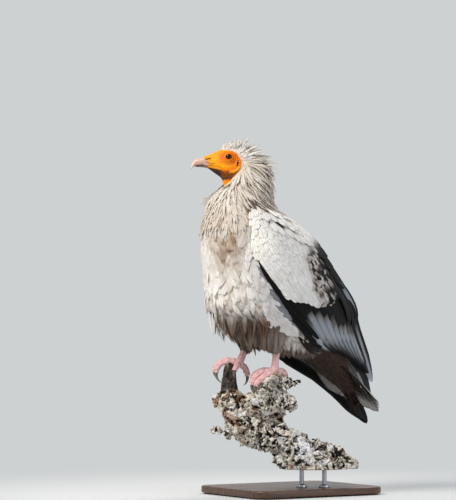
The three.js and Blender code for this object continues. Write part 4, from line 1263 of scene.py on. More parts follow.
def vane_batch(centre, normal, half, stations, marks, chance, spot, columns=3, thick=0.3,
               camber=0.3, tilt=0.0, patch=(0.003, 0.003), fray=0.0, rng=None):
    """Closed thin vanes. Centre and normal are (count, rows + 2, 3) from root to tip, half is
    (count, rows), marks (count, rows + 2, 4), spot (count, 2) the root's place on the unwrap."""
    count, rows = half.shape
    ahead = unit(np.gradient(centre, axis=1))
    side = unit(np.cross(ahead, normal))
    up = np.cross(side, ahead)
    x = np.linspace(-1, 1, columns)
    around = np.concatenate([x, x[-2:0:-1]])
    faces_up = np.concatenate([np.ones(columns), -np.ones(columns - 2)])
    wide = half[..., None] * np.ones(len(around))
    if fray:
        wide = wide * (1 - fray * rng.random(wide.shape) * (np.abs(around) > 0.6))
    lift = thick * faces_up * (1 - around ** 2) - camber * wide * around ** 2 + tilt * wide * around
    rings = (centre[:, 1:-1, None] + side[:, 1:-1, None] * (around * wide)[..., None]
             + up[:, 1:-1, None] * lift[..., None])
    m = len(around)
    points = np.concatenate([centre[:, :1], rings.reshape(count, -1, 3), centre[:, -1:]], 1)
    along = np.concatenate([[0], np.repeat(np.asarray(stations)[1:-1], m), [1]])
    across = np.concatenate([[0], np.tile(around, rows), [0]])
    span = np.linalg.norm(np.diff(centre, axis=1), axis=-1).sum(1)
    offset = np.pad((around * wide).reshape(count, -1), ((0, 0), (1, 1)))
    if callable(marks):
        marks = marks(np.broadcast_to(along, (count, len(along))), across, chance)
    else:
        marks = np.concatenate([marks[:, :1], np.repeat(marks[:, 1:-1], m, axis=1), marks[:, -1:]], 1)
    vane = together(along * span[:, None] / 1000, offset / 1000, chance[:, None], along)
    patch = np.broadcast_to(patch, (count, 2))
    places = together(spot[:, :1] + across * 0.5 * patch[:, :1],
                      spot[:, 1:] + (along - 0.5) * patch[:, 1:])
    j = np.arange(m)
    k = (j + 1) % m
    last = 1 + (rows - 1) * m
    tris = np.concatenate([together(0, 1 + k, 1 + j), together(last + j, last + k, 1 + rows * m)])
    rim = np.abs(across) > 0.999
    rim[0] = rim[-1] = True
    step = (np.arange(count) * points.shape[1])[:, None, None]
    return {"points": points.reshape(-1, 3), "quads": (1 + ring_quads(rows, m) + step).reshape(-1, 4),
            "tris": (tris + step).reshape(-1, 3), "marks": marks.reshape(-1, 4),
            "vane": vane.reshape(-1, 4), "places": places.reshape(-1, 2), "rim": np.tile(rim, count)}


def vanes(profile, line, normal, width, marks, spot, rng, ragged=0.12, **form):
    """A batch of vanes with a profile's outline, each a little ragged and with its own chance."""
    stations, shares = profile
    loose = 1 + ragged * rng.uniform(-1, 1, (len(width), len(shares)))
    half = width[:, None] / 2 * np.asarray(shares) * loose
    return vane_batch(line, normal, half, stations, marks, rng.random(len(line)), spot, rng=rng, **form)


def plumage_piece(name, batches, finish, slot, *nodes):
    """Joins batches of vanes into one piece of the coat."""
    shift, quads, tris = 0, [], []
    for batch in batches:
        quads.append(batch["quads"] + shift)
        tris.append(batch["tris"] + shift)
        shift += len(batch["points"])
    joined = {key: np.concatenate([batch[key] for batch in batches]) for key in batches[0]
              if key not in ("quads", "tris")}
    mesh = new_mesh(name, joined["points"], np.concatenate(quads), np.concatenate(tris))
    for key in ("marks", "vane"):
        keep_values(mesh, key, joined[key])
    corners = np.empty(len(mesh.loops), np.int32)
    mesh.loops.foreach_get("vertex_index", corners)
    keep_unwrap(mesh, joined["places"][corners])
    ends = np.empty(len(mesh.edges) * 2, np.int32)
    mesh.edges.foreach_get("vertices", ends)
    sharp = joined["rim"][ends.reshape(-1, 2)].all(1)
    layer = mesh.attributes.new("sharp_edge", "BOOLEAN", "EDGE")
    layer.data.foreach_set("value", sharp)
    triangles = 2 * sum(len(q) for q in quads) + sum(len(t) for t in tris)
    print(f"{name}: {triangles} triangles")
    if triangles >= MOST_TRIANGLES:
        raise RuntimeError(f"{name} has too many triangles: {triangles}")
    return finished(add_object(mesh, finish), slot, *nodes)


FINE = 240  # places on a line whose length is measured


def in_rows(surface, u_span, v_span, row_gap, gap, rng, jitter):
    """Feather roots in staggered rows across a surface, like tiles. Gaps may vary with u."""
    fine_u, fine_v = np.linspace(*u_span, FINE), np.linspace(*v_span, FINE)
    middle = surface.place(fine_u, np.full(FINE, sum(v_span) / 2))
    steps = np.linalg.norm(np.diff(middle, axis=0), axis=1)
    row_gap = np.broadcast_to(row_gap(fine_u) if callable(row_gap) else row_gap, FINE)
    count = np.concatenate([[0], np.cumsum(steps / row_gap[1:])])
    rows = np.interp(np.arange(0, count[-1]), count, fine_u)
    us, vs = [], []
    for k, (u, du) in enumerate(zip(rows, np.gradient(rows))):
        run = run_along(surface.place(np.full(FINE, u), fine_v))
        size = gap(np.array([u]))[0] if callable(gap) else gap
        number = max(int(run[-1] / size), 1)
        places = (np.arange(number) + 0.5 * (k % 2) + 0.25 + jitter * rng.uniform(-0.5, 0.5, number))
        vs.append(np.interp(places / number * run[-1], run, fine_v))
        us.append(u + du * jitter * rng.uniform(-0.5, 0.5, number))
    return np.concatenate(us), np.concatenate(vs)


def laid(surface, u, v, heading, span, stations, heights):
    """Centre lines that follow a surface from roots, at a heading from its own grain, with a
    height above it at each station. Heights are (count, stations)."""
    u, v = u.copy(), v.copy()
    points, normals, places = [], [], []
    for k, station in enumerate(stations):
        point, by_u, by_v, normal = surface.frame(u, v)
        points.append(point + normal * heights[:, k:k + 1])
        normals.append(normal)
        places.append(together(u, v))
        if k + 1 < len(stations):
            grain = unit(by_u)
            cross = np.cross(normal, grain)
            way = grain * np.cos(heading)[:, None] + cross * np.sin(heading)[:, None]
            step = span * (stations[k + 1] - station)
            e, f, g = dot(by_u, by_u), dot(by_u, by_v), dot(by_v, by_v)
            a, b = dot(way, by_u), dot(way, by_v)
            whole = np.maximum(e * g - f * f, 1e-6)
            u = u + (a * g - b * f) / whole * step
            v = v + (b * e - a * f) / whole * step
    return np.stack(points, 1), np.stack(normals, 1), np.stack(places, 1)


def standing(root, normal, flow, lift, span, stations, curl, droop, rng, clump):
    """Centre lines that leave the skin at a lift angle and gather in clumps."""
    way = flow * np.cos(lift)[:, None] + normal * np.sin(lift)[:, None]
    x = np.asarray(stations)[None, :, None]
    size = span[:, None, None]
    bend = -normal * np.asarray(curl)[..., None] - UPWARD * np.asarray(droop)[..., None]
    line = root[:, None] + size * (x * way[:, None] + x * x * bend[:, None])
    seeds = rng.permutation(len(root))[:len(root) // 6]
    nearest = seeds[np.argmin(((root[:, None] - root[None, seeds]) ** 2).sum(-1), 1)]
    pull = line[nearest, -1] - line[:, -1]
    far = np.maximum(np.linalg.norm(pull, axis=-1, keepdims=True), 1e-6)
    pull = pull * np.minimum(1, 0.4 * span[:, None] / far)
    line = line + clump * x * x * pull[:, None]
    ahead = unit(np.gradient(line, axis=1))
    outward = unit(normal[:, None] - ahead * dot(ahead, normal[:, None])[..., None])
    return line, outward


# Outlines of feathers: stations from root to tip, and the share of the full width at those between.
SPIKE = ([0, 0.18, 0.45, 0.75, 1], [0.75, 1.0, 0.55])
LANCE = ([0, 0.15, 0.4, 0.66, 0.87, 1], [0.5, 0.95, 0.9, 0.5])
LEAF = ([0, 0.12, 0.36, 0.62, 0.83, 0.95, 1], [0.42, 0.82, 1.0, 0.86, 0.48])
BROAD = ([0, 0.08, 0.25, 0.45, 0.65, 0.8, 0.91, 0.97, 1], [0.3, 0.66, 0.92, 1, 0.95, 0.76, 0.45])


def shared(name, make, *words):
    """A finish that several pieces share."""
    return bpy.data.materials.get(name) or make(name, *words)


def coat_finish(look):
    return shared("plumage_vane", plumage_finish, look, look.white)


def hackle_finish(look):
    base = tuple(mix(np.array(look.white), np.array(look.cream), 0.4))
    return shared("hackle_vane", plumage_finish, look, base)


def along_vane(marks, profile):
    """Root markings carried to every station of a vane."""
    return np.repeat(marks[:, None, :], len(profile[0]), axis=1)


class VULTURE_OT_scutes(bpy.types.Operator):
    """Makes the horny plates that overlap along the top of each toe and down each shin"""

    bl_idname = "vulture.scutes"
    bl_label = "Toe and shin plates"

    def execute(self, context):
        rng = np.random.default_rng(context.scene.vulture_coat.seed + 20)
        finish = shared("leg_skin", leg_finish, context.scene.vulture_colours)
        lines, normals, halves = [], [], []
        stations = np.array([0, 0.15, 0.5, 0.85, 1])
        for leg in LEGS.values():
            shin = (leg["tarsus"], (-1, 0, 0), 2.9, 1.06, 0.8, (0.42, 0.93))
            toes = [(toe, toe_sideways(toe), 3.1, 0.98, 0.55, (0.3, 0.97)) for toe in leg["toes"]]
            for path, sideways, gap, grow, thick, (start, stop) in (shin, *toes):
                share = np.linspace(0, 1, 80)
                run = run_along(spline(path, share)[:, :3])
                spots = np.interp(np.arange(run[-1] * start, run[-1] * stop, gap), run, share)
                u = spots[:, None] + (stations - 0.2) * (1.5 * gap / run[-1])
                rise = thick + mix(-0.9, 0.9, smooth(0, 0.9, stations)) + 0 * u
                skin = limb_frame(path, sideways)(u, 0 * u, rise)
                lines.append(skin)
                normals.append(unit(skin - spline(path, u)[..., :3]))
                radius = spline(path, spots)[:, 3] + thick
                halves.append(radius[:, None] * grow * np.array([0.8, 0.94, 0.8]))
        line, normal, half = (np.concatenate(parts) for parts in (lines, normals, halves))
        count = len(line)
        batch = vane_batch(line, normal, half, stations, np.zeros((count, 5, 4)), rng.random(count),
                           np.full((count, 2), 0.5), columns=9, thick=0.5, camber=0.5)
        plumage_piece("scutes", [batch], finish, "leg_skin")
        return {"FINISHED"}


# Crest and mane fan out from behind the ear. By bearing from there, in degrees with 0 straight back
# and 90 straight up: which way a feather points and how long it grows.
FAN = ([-180, -120, -75, -62, -48, -34, -15, 27, 58, 90, 117, 136, 180],
       [-130, -112, -64, -55, -46, -29, -6, 9, 32, 52, 73, 88, 96],
       [46, 46, 62, 62, 59, 56, 54, 45, 37, 28, 19, 11, 8])


def fanned(p):
    """Way and length of the feathers at places on head and neck."""
    a, _, up = from_head(p)
    bearing = np.degrees(np.arctan2(up + 3, -a - 20))
    turn = np.radians(np.interp(bearing, FAN[0], FAN[1]))[..., None]
    return UPWARD * np.sin(turn) - AHEAD * np.cos(turn), np.interp(bearing, FAN[0], FAN[2])


def heading_of(way, by_u, normal):
    """The angle from a surface's grain to a way."""
    grain = unit(by_u)
    cross = np.cross(normal, grain)
    return np.arctan2(dot(way, cross), dot(way, grain))


class VULTURE_OT_crest(bpy.types.Operator):
    """Makes the spiky crest, the nape's mane and the small feathers round the face"""

    bl_idname = "vulture.crest"
    bl_label = "Crest and mane"

    def execute(self, context):
        coat, look = context.scene.vulture_coat, context.scene.vulture_colours
        rng = np.random.default_rng(coat.seed)
        # Three layers: gap between roots, 0 for short down or 1 for long spikes, and how long.
        batches = [self.layer(coat, rng, *layer) for layer in ((1.8, 0, 1.0), (2.5, 1, 0.88), (4.6, 1, 1.07))]
        finish = shared("crest_vane", plumage_finish, look, srgb(250, 247, 241), 0.62, 0.95)
        plumage_piece("coat_crest", batches, finish, "plumage")
        return {"FINISHED"}

    @staticmethod
    def layer(coat, rng, dense, long, more):
        """One layer of crest and mane, shorter and flatter towards the face."""
        u, v = in_rows(HEAD_SURFACE, (0.3, 0.99), (-0.5, 0.5), lambda u: mix(dense, dense * 1.6, u),
                       lambda u: mix(dense, dense * 1.5, u), rng, 0.8)
        point, _, _, normal = HEAD_SURFACE.frame(u, v)
        a, left, up = from_head(point)
        back = np.interp(up, *BARE_EDGE) - a
        flat = smooth(0.45, 0.85, np.abs(normal @ LEFTWARD)) * smooth(-30, -12, up)
        keep = (back > mix(-2.4, 1.5, long)) & (rng.random(len(u)) > 0.75 * long * flat)
        point, normal, back, up, left, flat, u, v = (
            x[keep] for x in (point, normal, back, up, left, flat, u, v))
        way, full = fanned(point)
        way = unit(way + LEFTWARD * np.clip(left / 26, -0.7, 0.7)[:, None] * mix(0.3, 1, long))
        beside = smooth(0.35, 0.9, np.abs(normal @ LEFTWARD))
        full = mix(full, 30, beside * (up > -20)) * coat.crest / MM / 27 * more
        full = mix(15 + 9 * flat, full, long) * rng.uniform(0.6, 1.08, len(u))
        span = mix(4.0, full, smooth(0, mix(8, 15, long), back))
        flatter = 0.72 * (1 - long) * dot(way, normal)
        raised = 0.04 + 0.2 * long * (1 - 0.7 * beside)
        way = unit(way - normal * flatter[:, None] + normal * raised[:, None]
                   + rng.normal(0, 0.06, (len(u), 3)))
        way = unit(way + normal * np.maximum(0.1 - dot(way, normal), 0)[:, None])
        tall = dot(way, normal)
        curl = 0.02 + rng.uniform(-0.05, 0.05, len(u))
        line, outward = standing(point - normal * 0.8, normal, unit(way - normal * tall[:, None]),
                                 np.arcsin(np.clip(tall, -1, 1)), span, SPIKE[0], curl, 0.03 + 0 * u,
                                 rng, mix(0.1, 0.2, long * (more < 1)))
        width = mix(2.6, mix(3.3, 3.8, smooth(-10, -50, up)), smooth(0, 20, back)) * min(1, 1.8 - more)
        width = width * mix(1.0, 1.5, (1 - long) * flat) * rng.uniform(0.75, 1.25, len(u))
        marks = along_vane(body_marks(point), SPIKE)
        crown = np.maximum(smooth(-6, 8, up), 1 - long)
        marks[..., 0] = marks[..., 0] * mix(0.9, 0.1, crown)[:, None]
        # The nape's painted shade stays near the spikes' roots.
        marks[..., 3] *= smooth(mix(1.2, 0.5, long), 0.1, np.asarray(SPIKE[0]))
        return vanes(SPIKE, line, outward, width, np.clip(marks, 0, 1), together(v + 0.5, u), rng, thick=0.4)


def front_sink(u, v):
    """How much closer to the skin the coat lies down the front of neck and breast."""
    return 4.5 * smooth(0.3, 0.1, np.abs(v)) * smooth(0.03, 0.12, u) * smooth(0.5, 0.34, u)


class VULTURE_OT_hackles(bpy.types.Operator):
    """Makes the long narrow hackles of the neck"""

    bl_idname = "vulture.hackles"
    bl_label = "Neck hackles"

    def execute(self, context):
        coat, look = context.scene.vulture_coat, context.scene.vulture_colours
        rng = np.random.default_rng(coat.seed + 1)
        batches = [self.layer(coat, rng, 4.4, 0), self.layer(coat, rng, 5.4, 1), self.wisps(rng)]
        plumage_piece("coat_hackles", batches, hackle_finish(look), "plumage")
        return {"FINISHED"}

    @staticmethod
    def cells(u, v):
        return together(v + 0.5, u / 0.34)

    @classmethod
    def layer(cls, coat, rng, gap, top):
        """The lower or the top layer of hackles, with gaps on the nape that show the lower one."""
        u, v = in_rows(BODY_SURFACE, (0.0, 0.3), (-0.5, 0.5), gap, gap, rng, 0.9)
        point, by_u, _, normal = BODY_SURFACE.frame(u, v)
        a, left, up = from_head(point)
        front = np.interp(up, [-62, -54, -48], [4, 11, 60])
        bare = (a > np.interp(up, *BARE_EDGE) - 2) & (a < front) & (up > -62) & (np.abs(left) < 28)
        nape = smooth(-18, -48, a) * smooth(-124, -98, up)
        keep = ~bare
        keep[keep] = (rng.random(keep.sum()) > 0.62 * nape[keep]) if top else True
        point, by_u, normal, u, v, up, a, nape = (x[keep] for x in (point, by_u, normal, u, v, up, a, nape))
        way, full = fanned(point)
        way = unit(way - UPWARD * (0.75 * smooth(-36, -52, a) * smooth(-70, -40, up))[:, None])
        beside = smooth(0.3, 0.75, np.abs(normal @ LEFTWARD))
        way = mix(unit(by_u), way, (smooth(-120, -80, up) * beside)[:, None])
        span = mix(40, full * 0.95, nape) * coat.hackles / MM / 58 * rng.uniform(0.7, 1.12, len(u))
        cheek = smooth(-56, -40, a) * smooth(-84, -62, up)
        width = mix(6.2, 4.2, np.maximum(nape, cheek)) * mix(1.15, 0.9 - 0.2 * nape, top)
        width = width * rng.uniform(0.75, 1.25, len(u))
        lean = heading_of(way, by_u, normal) + rng.normal(0, 0.12, len(u))
        rise = mix(rng.uniform(-1.5, 0.6, len(u)), rng.uniform(0.5, 4.5, len(u)), top)
        rise = rise + nape * mix(-4.0, 3.5 * rng.random(len(u)), top)
        stations = np.asarray(LANCE[0])
        heights = mix(-5.0, rise[:, None], smooth(-0.15, 1.0, stations)[None]) - front_sink(u, v)[:, None]
        line, outward, _ = laid(BODY_SURFACE, u, v, lean, span, stations, heights)
        marks = along_vane(body_marks(point), LANCE)
        # Painted shade in the nape's gaps: soil with black below it, and only near the roots in the top
        # layer.
        marks[..., 1] = marks[..., 3] * mix(0.55, 0.1, top)
        marks[..., 3] *= mix(1.0, smooth(0.45, 0.12, stations), top)
        marks[..., 0] += mix(0.03, 0.24, rng.random((len(u), 1)) ** 2) * smooth(0.95, 0.3, stations)
        marks[..., 0] *= 1 - 0.75 * np.maximum(cheek, 0.6 * nape)[:, None]
        return vanes(LANCE, line, outward, width, np.clip(marks, 0, 1), cls.cells(u, v), rng, thick=0.4,
                     camber=0.16)

    @classmethod
    def wisps(cls, rng):
        """A few loose feathers that the wind lifts off the far side of the throat."""
        count = 24
        shaded = np.arange(count) % 2
        u = rng.uniform(0.12, 0.19, count) - 0.05 * shaded
        v = rng.uniform(-0.17, -0.07, count) - 0.05 * shaded
        point, _, _, normal = BODY_SURFACE.frame(u, v)
        way = unit(AHEAD * 0.85 - UPWARD * 0.55 - LEFTWARD * 0.1 + rng.normal(0, 0.12, (count, 3)))
        tall = dot(way, normal)
        span = mix(rng.uniform(30, 48, count), 24, shaded)
        line, outward = standing(point - normal * 3, normal, unit(way - normal * tall[:, None]),
                                 np.arcsin(tall), span, LANCE[0], 0 * u, 0.15 + 0 * u, rng, 0.4)
        # Every second wisp is painted in shade, with black and soil.
        marks = along_vane(body_marks(point) * 0.2 + shaded[:, None] * (0, 0.2, 0, 0.7), LANCE)
        return vanes(LANCE, line, outward, rng.uniform(2.0, 3.2, count), marks, cls.cells(u, v), rng)


def laid_coat(surface, u, v, span, width, rng, marks_at, unwrap, profile=LEAF, rise=(1.5, 3.0),
              depth=6.0, sway=0.16, root_shade=0.0, thick=0.4, camber=0.28, ragged=0.14, sink=0.0):
    """A batch of feathers that follow a surface, roots under it and tips a little over it."""
    stations = np.asarray(profile[0])
    lean = rng.normal(0, sway, len(u))
    tips = rng.uniform(*rise, len(u))
    heights = mix(-depth, tips[:, None], smooth(-0.25, 1.0, stations)[None]) - np.reshape(sink, (-1, 1))
    line, normal, places = laid(surface, u, v, lean, span, stations, heights)
    marks = marks_at(places[..., 0], places[..., 1], line)
    # Painted shade: more black towards the roots.
    marks[..., 1] = np.clip(marks[..., 1] + root_shade * smooth(0.4, 0.1, stations), 0, 1)
    return vanes(profile, line, normal, width, marks, unwrap(u, v), rng, ragged, thick=thick, camber=camber)


def body_marks_at(_u, _v, p):
    return body_marks(p)


class VULTURE_OT_trunk_coat(bpy.types.Operator):
    """Makes the feathers of breast, belly, back and thighs"""

    bl_idname = "vulture.trunk_coat"
    bl_label = "Trunk and thigh feathers"

    def execute(self, context):
        coat, look = context.scene.vulture_coat, context.scene.vulture_colours
        rng = np.random.default_rng(coat.seed + 2)
        finish = coat_finish(look)
        long = coat.breast / MM
        for name, make in (("breast", self.breast), ("belly", self.belly), ("back", self.back),
                           ("thighs", self.thighs)):
            plumage_piece(f"coat_{name}", make(rng, long), finish, "plumage")
        return {"FINISHED"}

    @classmethod
    def breast(cls, rng, long):
        """Narrow feathers, broader ones low down, tufts over the thighs' top and a fringe."""
        def cells(u, v):
            return together(v / 0.8 + 0.5, (u - 0.2) / 0.52)

        def marks_above(_u, v, p):
            return body_marks(p + UPWARD * mix(8, 50, smooth(0.01, -0.05, v))[..., None])

        u, v = in_rows(BODY_SURFACE, (0.2, 0.64), (-0.37, 0.37), 4.9, 4.5, rng, 1.0)
        span = long * mix(1.1, 1.0, smooth(0.25, 0.5, u)) * rng.uniform(0.7, 1.25, len(u))
        width = mix(6.5, 11, smooth(0.25, 0.45, u)) * rng.uniform(0.75, 1.25, len(u))
        batches = [laid_coat(BODY_SURFACE, u, v, span, width, rng, body_marks_at, cells, profile=LANCE,
                             rise=(-0.8, 1.3), depth=3.2, sway=0.2, camber=0.1, sink=front_sink(u, v))]
        u, v = in_rows(BODY_SURFACE, (0.36, 0.6), (-0.33, 0.33), 15, 14, rng, 1.2)
        span, width = rng.uniform(34, 50, len(u)), rng.uniform(13, 19, len(u))
        batches.append(laid_coat(BODY_SURFACE, u, v, span, width, rng, body_marks_at, cells,
                                 rise=(1.2, 3.2), depth=2.5, sway=0.24, camber=0.24, sink=front_sink(u, v)))
        count = 190
        u, v = rng.uniform(0.48, 0.66, count), rng.uniform(-0.24, 0.29, count)
        span, width = rng.uniform(26, 44, count), rng.uniform(7, 12, count)
        batches.append(laid_coat(BODY_SURFACE, u, v, span, width, rng, marks_above, cells, profile=LANCE,
                                 rise=(1.0, 6.0), depth=3, sway=0.3, camber=0.2))
        count = 40
        fringe = rng.uniform(0.5, 0.58, count), rng.uniform(-0.1, -0.03, count)
        span, width = rng.uniform(24, 50, count), rng.uniform(3.2, 5, count)
        return [*batches, cls.hanging(fringe, span, width, 1, rng, cells, 70)]

    @classmethod
    def belly(cls, rng, long):
        """Narrow feathers and a skirt of loose tufts between and over the thighs."""
        def cells(u, v):
            return together(v / 0.7 + 0.5, (u - 0.55) / 0.47)

        u, v = in_rows(BODY_SURFACE, (0.56, 1.0), (-0.33, 0.33), 5.4, 5.2, rng, 1.0)
        span, width = long * rng.uniform(0.7, 1.15, len(u)), rng.uniform(5.5, 9.5, len(u))
        laid_down = laid_coat(BODY_SURFACE, u, v, span, width, rng, body_marks_at, cells, profile=LANCE,
                              rise=(-2.5, 1.5), depth=5, sway=0.25, camber=0.2)
        count = 520
        skirt = u, v = rng.uniform(0.62, 0.86, count), rng.uniform(-0.2, 0.2, count)
        low = BODY_SURFACE.place(u, v)[:, 2]
        reach = np.clip(low - 246, 20, 52) * rng.uniform(0.6, 1.1, count)
        above = mix(10, 60, smooth(0.01, -0.05, v) * smooth(0.74, 0.68, u))
        return [laid_down, cls.hanging(skirt, reach, rng.uniform(4, 7.5, count), 3, rng, cells, above)]

    @staticmethod
    def back(rng, long):
        """Broad feathers that lie flat between the wings."""
        def cells(u, v):
            return together((v - 0.25) / 0.5, (u - 0.2) / 0.82)

        u, v = in_rows(BODY_SURFACE, (0.2, 1.0), (0.29, 0.71), 7.4, 7.2, rng, 0.7)
        span = long * mix(1.0, 1.25, smooth(0.3, 0.6, u)) * rng.uniform(0.8, 1.15, len(u))
        return [laid_coat(BODY_SURFACE, u, v, span, rng.uniform(11, 15, len(u)), rng, body_marks_at,
                          cells, rise=(-0.5, 1.2), depth=4, sway=0.1)]

    @staticmethod
    def thighs(rng, _long):
        """The feathers of both thighs, shorter and narrower towards the shins."""
        batches = []
        for k, name in enumerate(SIDES):
            u, v = in_rows(THIGH_SURFACES[name], (0.05, 0.86), (0.0, 1.0), 4.8, 4.8, rng, 0.9)
            span = mix(34, 13, smooth(0.35, 0.86, u)) * rng.uniform(0.75, 1.2, len(u))
            width = mix(9, 4.5, smooth(0.5, 0.86, u)) * rng.uniform(0.75, 1.2, len(u))
            batches.append(laid_coat(THIGH_SURFACES[name], u, v, span, width, rng, body_marks_at,
                                     lambda u, v, k=k: together(v * 0.48 + 0.01 + 0.5 * k, u),
                                     profile=LANCE, rise=(-1, 2), depth=3.5, sway=0.22, camber=0.2))
        return batches

    @staticmethod
    def hanging(roots, span, width, lift, rng, cells, above):
        """Loose tufts that hang straight down, marked as the coat some way above them is."""
        point, _, _, normal = BODY_SURFACE.frame(*roots)
        down = unit(-UPWARD - normal * (normal @ -UPWARD)[:, None] * 0.75 + normal * 0.04)
        line, outward = standing(point - normal * 4, normal, down,
                                 np.radians(rng.normal(lift, 5, len(span))), span, LANCE[0],
                                 0.02 + 0 * span, 0.12 + 0 * span, rng, 0.8)
        marks = body_marks(line + UPWARD * np.reshape(above, (-1, 1, 1)))
        return vanes(LANCE, line, outward, width, marks, cells(*roots), rng)


def wing_unwrap(u, v):
    return together((v + 0.22) * 0.77 + 0.01, (u + 0.06) / 0.62)


class VULTURE_OT_coverts(bpy.types.Operator):
    """Makes the wing coverts in rows, the scapulars and the feathers of the wing's lower edge"""

    bl_idname = "vulture.coverts"
    bl_label = "Wing coverts"

    def execute(self, context):
        coat, look = context.scene.vulture_coat, context.scene.vulture_colours
        finish = coat_finish(look)
        for name, side in SIDES.items():
            rng = np.random.default_rng(coat.seed + 5)
            surface = WING_SURFACES[name]
            batches = [self.small(surface, coat, rng), self.greater(surface, coat, rng, side),
                       self.scapulars(surface, rng), *self.lower_edge(surface, rng)]
            plumage_piece(f"coat_wing_{name}", batches, finish, "wing_coverts")
        return {"FINISHED"}

    @staticmethod
    def small(surface, coat, rng):
        """The small coverts in rows over the wing's white panel."""
        u, v = in_rows(surface, (-0.05, 0.395), (-0.02, 1.03), lambda u: mix(4.8, 7.4, smooth(0, 0.25, u)),
                       lambda u: mix(5.0, 7.0, smooth(0, 0.25, u)), rng, 0.8)
        edge = np.minimum(np.interp(v, *PANEL_EDGE), np.interp(v - 0.035, *PANEL_EDGE) + 0.01)
        keep = (v < np.interp(u, *GROOVE) + 0.05) | ((u > 0.2) & (v > 0.5))
        keep &= (u < edge - 0.03) & (v > mix(-0.05, 0.055, smooth(0.04, 0.15, u)))
        u, v, edge = u[keep], v[keep], edge[keep]
        _, by_u, _, _ = surface.frame(u, v)
        room = (edge + 0.012 - u) * np.linalg.norm(by_u, axis=-1)
        span = mix(17, coat.coverts / MM, smooth(-0.03, 0.22, u)) * rng.uniform(0.85, 1.2, len(u))
        span = np.minimum(span, np.maximum(room, 8))
        width = mix(7.5, 13, smooth(-0.03, 0.25, u)) * rng.uniform(0.8, 1.15, len(u))
        return laid_coat(surface, u, v, span, width, rng, wing_marks, wing_unwrap, rise=(-0.1, 0.7),
                         depth=2.6, sway=0.09, ragged=0.12, camber=0.1, thick=0.3)

    @staticmethod
    def greater(surface, coat, rng, side):
        """The last row of coverts, whose tips make the white panel's edge."""
        count = 24
        rim = np.linspace(0.17, 0.34, 8)
        v = np.concatenate([np.interp(rim, PANEL_EDGE[1][:7], PANEL_EDGE[0][:7]) + 0.075,
                            np.linspace(0.19, 0.74, 16)])
        inner = np.minimum(np.interp(v[8:], *PANEL_EDGE), np.interp(v[8:] - 0.05, *PANEL_EDGE) + 0.014)
        tip = np.concatenate([rim, inner + rng.uniform(-0.01, 0.012, 16)])
        _, by_u, _, _ = surface.frame(tip - 0.05, v)
        span = coat.greater_coverts / MM * mix(0.62, 1.0, smooth(0.0, 0.3, v))
        u = tip - span / np.linalg.norm(by_u, axis=-1)
        stations = np.asarray(BROAD[0])
        heights = mix(-3.0, 0.4 + 0.05 * np.arange(count)[:, None], smooth(-0.1, 0.8, stations))
        line, normal, places = laid(surface, u, v, rng.normal(0, 0.03, count), span, stations, heights)
        marks = wing_marks(places[..., 0] - 0.03, places[..., 1], line)
        marks[..., 2] += 0.08
        return vanes(BROAD, line, normal, mix(11, 20, smooth(0.08, 0.3, v)), marks, wing_unwrap(u, v),
                     rng, 0.05, columns=7, thick=0.4, camber=0.12, tilt=0.05 * side, fray=0.06)

    @staticmethod
    def scapulars(surface, rng):
        """The larger feathers that cover the wing's upper edge."""
        u, v = in_rows(surface, (-0.03, 0.34), (0.5, 1.05), 10, 10, rng, 0.5)
        keep = v > np.interp(u, *GROOVE) - 0.02
        u, v = u[keep], v[keep]
        span = mix(26, 46, smooth(0, 0.2, u)) * rng.uniform(0.85, 1.15, len(u))
        width = mix(13, 18, smooth(0, 0.2, u)) * rng.uniform(0.9, 1.1, len(u))
        return laid_coat(surface, u, v, span, width, rng, wing_marks, wing_unwrap,
                         rise=(2.2, 3.4), depth=0.6, sway=0.1, root_shade=0.15, camber=0.16)

    @staticmethod
    def lower_edge(surface, rng):
        """Alula and the long narrow feathers along the wing's lower edge, with grey-blue ones below it that
        paint the wing's shadow on the flank.
        """
        groups = []
        count, along = 15, (0.16, 0.3, 0.46)
        # Where the roots run across the wing, black and silver, first and last root, height, width. The
        # silver row is painted shadow of the wing on the flank.
        for run, black, silver, first, last, high, wide in (
                ((0.022, 0.028, 0.033), 1.0, 0.0, 0.12, 0.42, 0.7, 7.5),
                ((-0.015, -0.035, -0.045), 0.5, 0.8, 0.12, 0.5, -2.8, 11)):
            u = np.linspace(first, last, count)
            v = np.interp(u, along, run) + rng.uniform(-0.007, 0.007, count)
            heights = np.full((count, len(BROAD[0])), high) + rng.uniform(-0.3, 0.3, (count, 1))
            line, normal, _ = laid(surface, u, v, np.zeros(count), rng.uniform(50, 78, count), BROAD[0],
                                   heights)
            marks = along_vane(np.full((count, 4), (0.08, black, silver, 0)), BROAD)
            groups.append(vanes(BROAD, line, normal, np.full(count, wide), marks, wing_unwrap(u, v), rng,
                                0.08, columns=5, camber=0.1))
        # Loose feathers below the edge, grey as painted shade on the flank.
        count = 130
        u = rng.uniform(0.0, 0.47, count)
        v = np.interp(u, along, (-0.085, -0.12, -0.16)) + rng.uniform(-0.04, 0.02, count)
        span, width = rng.uniform(22, 42, count), rng.uniform(8, 13, count)
        groups.append(laid_coat(surface, u, v, span, width, rng,
                                lambda u, v, p: np.zeros(u.shape + (4,)) + (0.12, 0, 0.24, 0.06),
                                wing_unwrap, rise=(-3.0, 0.4), depth=5, sway=0.22, ragged=0.2))
        return groups


# ------------------------------------------------------------------ flight feathers
SECONDARIES, PRIMARIES, FAR_TAIL, TAIL = 10, 9, 7, 14  # how many feathers
QUILL = ([0, 0.03, 0.1, 0.2, 0.3, 0.4, 0.5, 0.6, 0.7, 0.79, 0.86, 0.915, 0.955, 0.982, 1],
         [0.25, 0.5, 0.72, 0.84, 0.92, 0.97, 1.0, 1.0, 0.97, 0.9, 0.78, 0.6, 0.4])
ALONG_QUILL = np.asarray(QUILL[0])
POINTED = (QUILL[0], [0.3, 0.6, 0.85, 0.97, 1.0, 1.0, 0.97, 0.92, 0.85, 0.76, 0.66, 0.53, 0.36])


